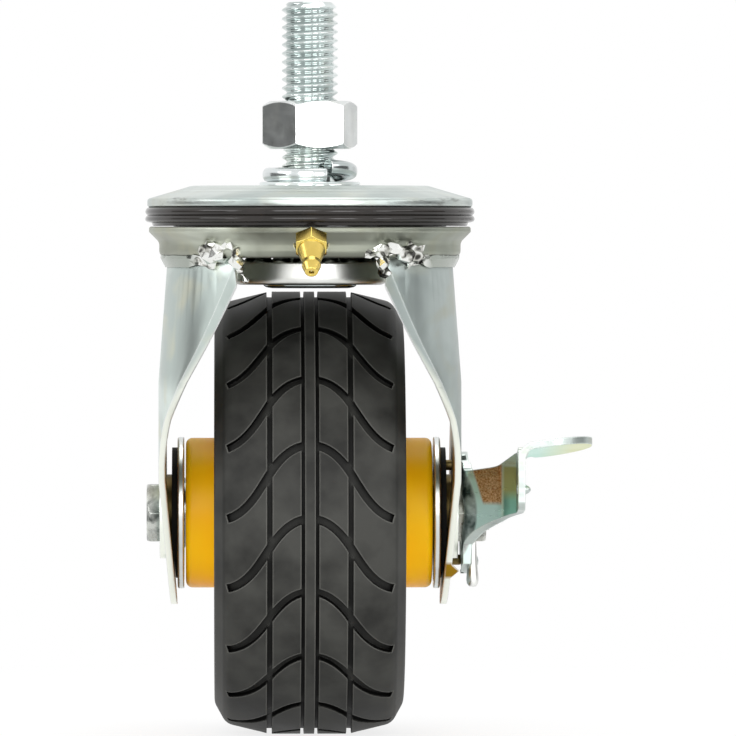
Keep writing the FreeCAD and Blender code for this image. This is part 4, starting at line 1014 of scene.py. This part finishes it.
# spring washer: one turn of round-cornered bar, its end lifted beside the split
washer = {
    "inner": 0.0067, "outer": 0.0107, "thick": 0.0032, "corner": 0.0013, "cornerSteps": 5,
    "lift": 0.0017, "liftSpan": 120.0, "split": 7.0, "splitAt": -62.0,  # degrees
    "turnSteps": 110,
}


def washerSection():
    points = []
    corner = washer["corner"]
    inner, outer = washer["inner"] + corner, washer["outer"] - corner
    top = washer["thick"] - corner
    corners = [(inner, corner, 180), (outer, corner, 270), (outer, top, 0), (inner, top, 90)]
    for radius, rise, start in corners:
        for i in range(washer["cornerSteps"] + 1):
            turn = math.radians(start + 90 * i / washer["cornerSteps"])
            points.append((radius + corner * math.cos(turn), rise + corner * math.sin(turn)))
    return points


def makeWasher():
    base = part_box("lock_washer")[0].z
    section = washerSection()
    span = 360 - washer["split"]
    rings = []
    bm = bmesh.new()
    for i in range(washer["turnSteps"] + 1):
        along = span * i / washer["turnSteps"]
        turn = math.radians(washer["splitAt"] + along)
        share = max(0.0, (washer["liftSpan"] - along) / washer["liftSpan"])
        lift = washer["lift"] * share * share * (3 - 2 * share)
        ring = []
        for radius, rise in section:
            x, y = radius * math.cos(turn), radius * math.sin(turn)
            ring.append(bm.verts.new((x, y, base + rise + lift)))
        rings.append(ring)
    for first, second in zip(rings, rings[1:]):
        for j in range(len(section)):
            k = (j + 1) % len(section)
            bm.faces.new((first[j], first[k], second[k], second[j]))
    bm.faces.new(rings[0])
    bm.faces.new(list(reversed(rings[-1])))
    bmesh.ops.recalc_face_normals(bm, faces=bm.faces)
    finishPiece("lockWasher", bm, "mount_plate", "lock_washer", 50)


makeWasher()
print("washer coiled")


# welds: the fillets of the model with lumps melted on at their front ends, then crumpled there
weld = {
    "keepFrom": 0.0215, "ring": 0.0338, "level": -0.0353, "roundness": 3,
    "voxel": 0.00035, "smoothings": 3, "smoothing": 0.5, "facets": 0.035,
    "crumple": 0.0012, "crumpleScale": 230, "crumpleMiddle": 0.6,
    "ripple": 0.00003, "rippleScale": 1500, "rippleShift": (7, 3, 1),
    "roughFrom": 0.0272, "roughTo": 0.0246,
    "lumps": {  # angle from the side, rise, radius, outward shift
        -1: [
            (61, 0.0016, 0.0016, 0.0000), (57, 0.0028, 0.0017, 0.0004),
            (53, 0.0010, 0.0020, 0.0002), (49, 0.0026, 0.0014, 0.0003),
            (60, -0.0008, 0.0016, -0.0008), (61, -0.0028, 0.0013, -0.0018),
            (62, -0.0046, 0.0010, -0.0026), (47, 0.0004, 0.0016, 0.0),
        ],
        1: [
            (67, 0.0012, 0.0013, 0.0000), (63, 0.0020, 0.0017, 0.0004),
            (58, 0.0024, 0.0018, 0.0004), (53, 0.0010, 0.0019, 0.0002),
            (49, 0.0026, 0.0015, 0.0004), (45, 0.0022, 0.0013, 0.0002),
            (60, -0.0010, 0.0016, -0.0008), (59, -0.0030, 0.0013, -0.0018),
            (46, 0.0002, 0.0016, 0.0),
        ],
    },
}


def modified(bm, kind, settings):  # the mesh with one modifier applied
    mesh = bpy.data.meshes.new("weldRaw")
    bm.to_mesh(mesh)
    bm.free()
    raw = bpy.data.objects.new("weldRaw", mesh)
    bpy.context.scene.collection.objects.link(raw)
    modifier = raw.modifiers.new("change", kind)
    for setting, value in settings.items():
        setattr(modifier, setting, value)
    graph = bpy.context.evaluated_depsgraph_get()
    changed = bpy.data.meshes.new_from_object(raw.evaluated_get(graph))
    bpy.data.objects.remove(raw)
    out = bmesh.new()
    out.from_mesh(changed)
    bpy.data.meshes.remove(changed)
    return out


def addLumps(bm):
    for side, lumps in weld["lumps"].items():
        for angle, rise, radius, shift in lumps:
            turn = math.radians(angle)
            ring = weld["ring"] + shift
            place = (side * ring * math.cos(turn), -ring * math.sin(turn), weld["level"] + rise)
            bmesh.ops.create_icosphere(
                bm, subdivisions=weld["roundness"], radius=radius,
                matrix=Matrix.Translation(place),
            )


def crumpled(bm):
    bm.normal_update()
    for vert in bm.verts:
        share = (weld["roughFrom"] - abs(vert.co.x)) / (weld["roughFrom"] - weld["roughTo"])
        share = max(0.0, min(1.0, share))
        coarse = 1 - 2 * abs(noise.noise(vert.co * weld["crumpleScale"]))
        fine = noise.noise(vert.co * weld["rippleScale"] + Vector(weld["rippleShift"]))
        rise = (coarse - weld["crumpleMiddle"]) * weld["crumple"] + fine * weld["ripple"]
        vert.co += vert.normal * rise * share


def makeWelds():
    bm = nodeCopy("weld_beads", joined=False)
    for side in (-1, 1):
        cutAcross(bm, (side * weld["keepFrom"], 0, 0), (-side, 0, 0))
    keepFrom = weld["keepFrom"] - 10 * closeness["cut"]
    inner = [v for v in bm.verts if abs(v.co.x) < keepFrom]
    bmesh.ops.delete(bm, geom=inner, context="VERTS")
    bmesh.ops.holes_fill(bm, edges=openRim(bm), sides=0)
    addLumps(bm)
    bm = modified(bm, "REMESH", {"mode": "VOXEL", "voxel_size": weld["voxel"]})
    for turn in range(weld["smoothings"]):
        bmesh.ops.smooth_vert(
            bm, verts=bm.verts, factor=weld["smoothing"],
            use_axis_x=True, use_axis_y=True, use_axis_z=True,
        )
    crumpled(bm)
    bm = modified(bm, "DECIMATE", {"ratio": weld["facets"]})
    finishPiece("weldLumps", bm, "fork", "weld_beads", 14)


makeWelds()
print("welds crumpled")


# black covers between the discs and the legs, put there as painted shade where the gap lies in
# shadow, cut to the lean of the legs
covers = {
    "outer": 0.0150, "inner": 0.0089, "thick": 0.00125, "gap": 0.00002, "steps": 96,
    "legInner": 0.0327, "room": 0.0002, "leanFrom": -0.086, "lean": 5.0,
    "sides": {"shadeCoverLeft": (-1, "thread_guard"), "shadeCoverRight": (1, "brake_disc")},
}


def makeShadeCover(name, side, disc):
    start = max(abs(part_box(disc)[0].x), abs(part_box(disc)[1].x)) + covers["gap"]
    end = start + covers["thick"]
    bm = bmesh.new()
    ring = [
        (covers["inner"], start), (covers["outer"], start), (covers["outer"], end),
        (covers["inner"], end), (covers["inner"], start),
    ]
    revolved(bm, ring, covers["steps"], "X", axle)
    lean = math.tan(math.radians(covers["lean"]))
    legFace = (covers["legInner"] - covers["room"], 0, covers["leanFrom"])
    cutAcross(bm, legFace, (1, 0, -lean), clear=True)
    bmesh.ops.triangle_fill(bm, edges=openRim(bm), use_beauty=True)
    bmesh.ops.scale(bm, verts=bm.verts, vec=(side, 1, 1))
    bmesh.ops.recalc_face_normals(bm, faces=bm.faces)
    # painted shade: a black disc standing for the shadow in the gap
    newPiece(name, bm, "shadeCoverBlack", bodyOfNode[disc], 40)


for coverName, (coverSide, coverDisc) in covers["sides"].items():
    makeShadeCover(coverName, coverSide, coverDisc)
print("dust covers set")


# detent: a drop-shaped tongue whose eye is riveted to the lever
detent = {
    "eye": 0.0024, "hole": 0.0011, "thick": 0.0015, "edge": 0.0003, "eyeDrop": 0.0028,
    "ahead": 0.0016, "out": 0.0015, "foot": 0.0005, "steps": 40,
    "drop": [  # radius and level in millimetres
        (0, -99.6), (0.55, -99.75), (0.85, -100.3), (0.95, -102.0), (1.0, -104.0), (1.15, -106.0),
        (1.34, -108.0), (1.42, -109.2), (1.28, -110.1), (0.8, -110.75), (0, -110.9),
    ],
}


def makeDetent():
    low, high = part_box("detent_wire")
    middle = low.y + detent["eye"]
    foot = low.x + detent["foot"]
    top = foot + detent["thick"]
    hole, outer, edge = detent["hole"], detent["eye"], detent["edge"]
    bm = bmesh.new()
    eye = [
        (hole, foot), (outer, foot), (outer, top - edge), (outer - edge, top),
        (hole, top), (hole, foot),
    ]
    revolved(bm, eye, detent["steps"], "X", (0, middle, high.z - detent["eyeDrop"]))
    drop = [(radius / 1000, level / 1000) for radius, level in detent["drop"]]
    place = (low.x + detent["out"], middle - detent["ahead"], 0)
    revolved(bm, drop, detent["steps"], "Z", place)
    bmesh.ops.recalc_face_normals(bm, faces=bm.faces)
    finishPiece("detentTongue", bm, "brake_pedal", "detent_wire", 50)


makeDetent()


# rivets: the one on the arm gets a small, tall head
rivets = {
    "armFrom": 0.0455, "inner": 0.0472, "outer": 0.0488, "middle": (0.00975, -0.0880),
    "narrow": 0.62, "tall": 1.6, "low": 0.35,
}


def makeRivets():
    bm = nodeCopy("lever_rivets")
    y, z = rivets["middle"]
    for vert in bm.verts:
        if vert.co.x > rivets["armFrom"]:
            vert.co.y = y + (vert.co.y - y) * rivets["narrow"]
            vert.co.z = z + (vert.co.z - z) * rivets["narrow"]
            if vert.co.x > rivets["outer"]:
                vert.co.x = rivets["outer"] + (vert.co.x - rivets["outer"]) * rivets["tall"]
            elif vert.co.x < rivets["inner"]:
                vert.co.x = rivets["inner"] + (vert.co.x - rivets["inner"]) * rivets["low"]
    finishPiece("leverRivets", bm, "brake_pedal", "lever_rivets", 40)


makeRivets()
print("small parts set")
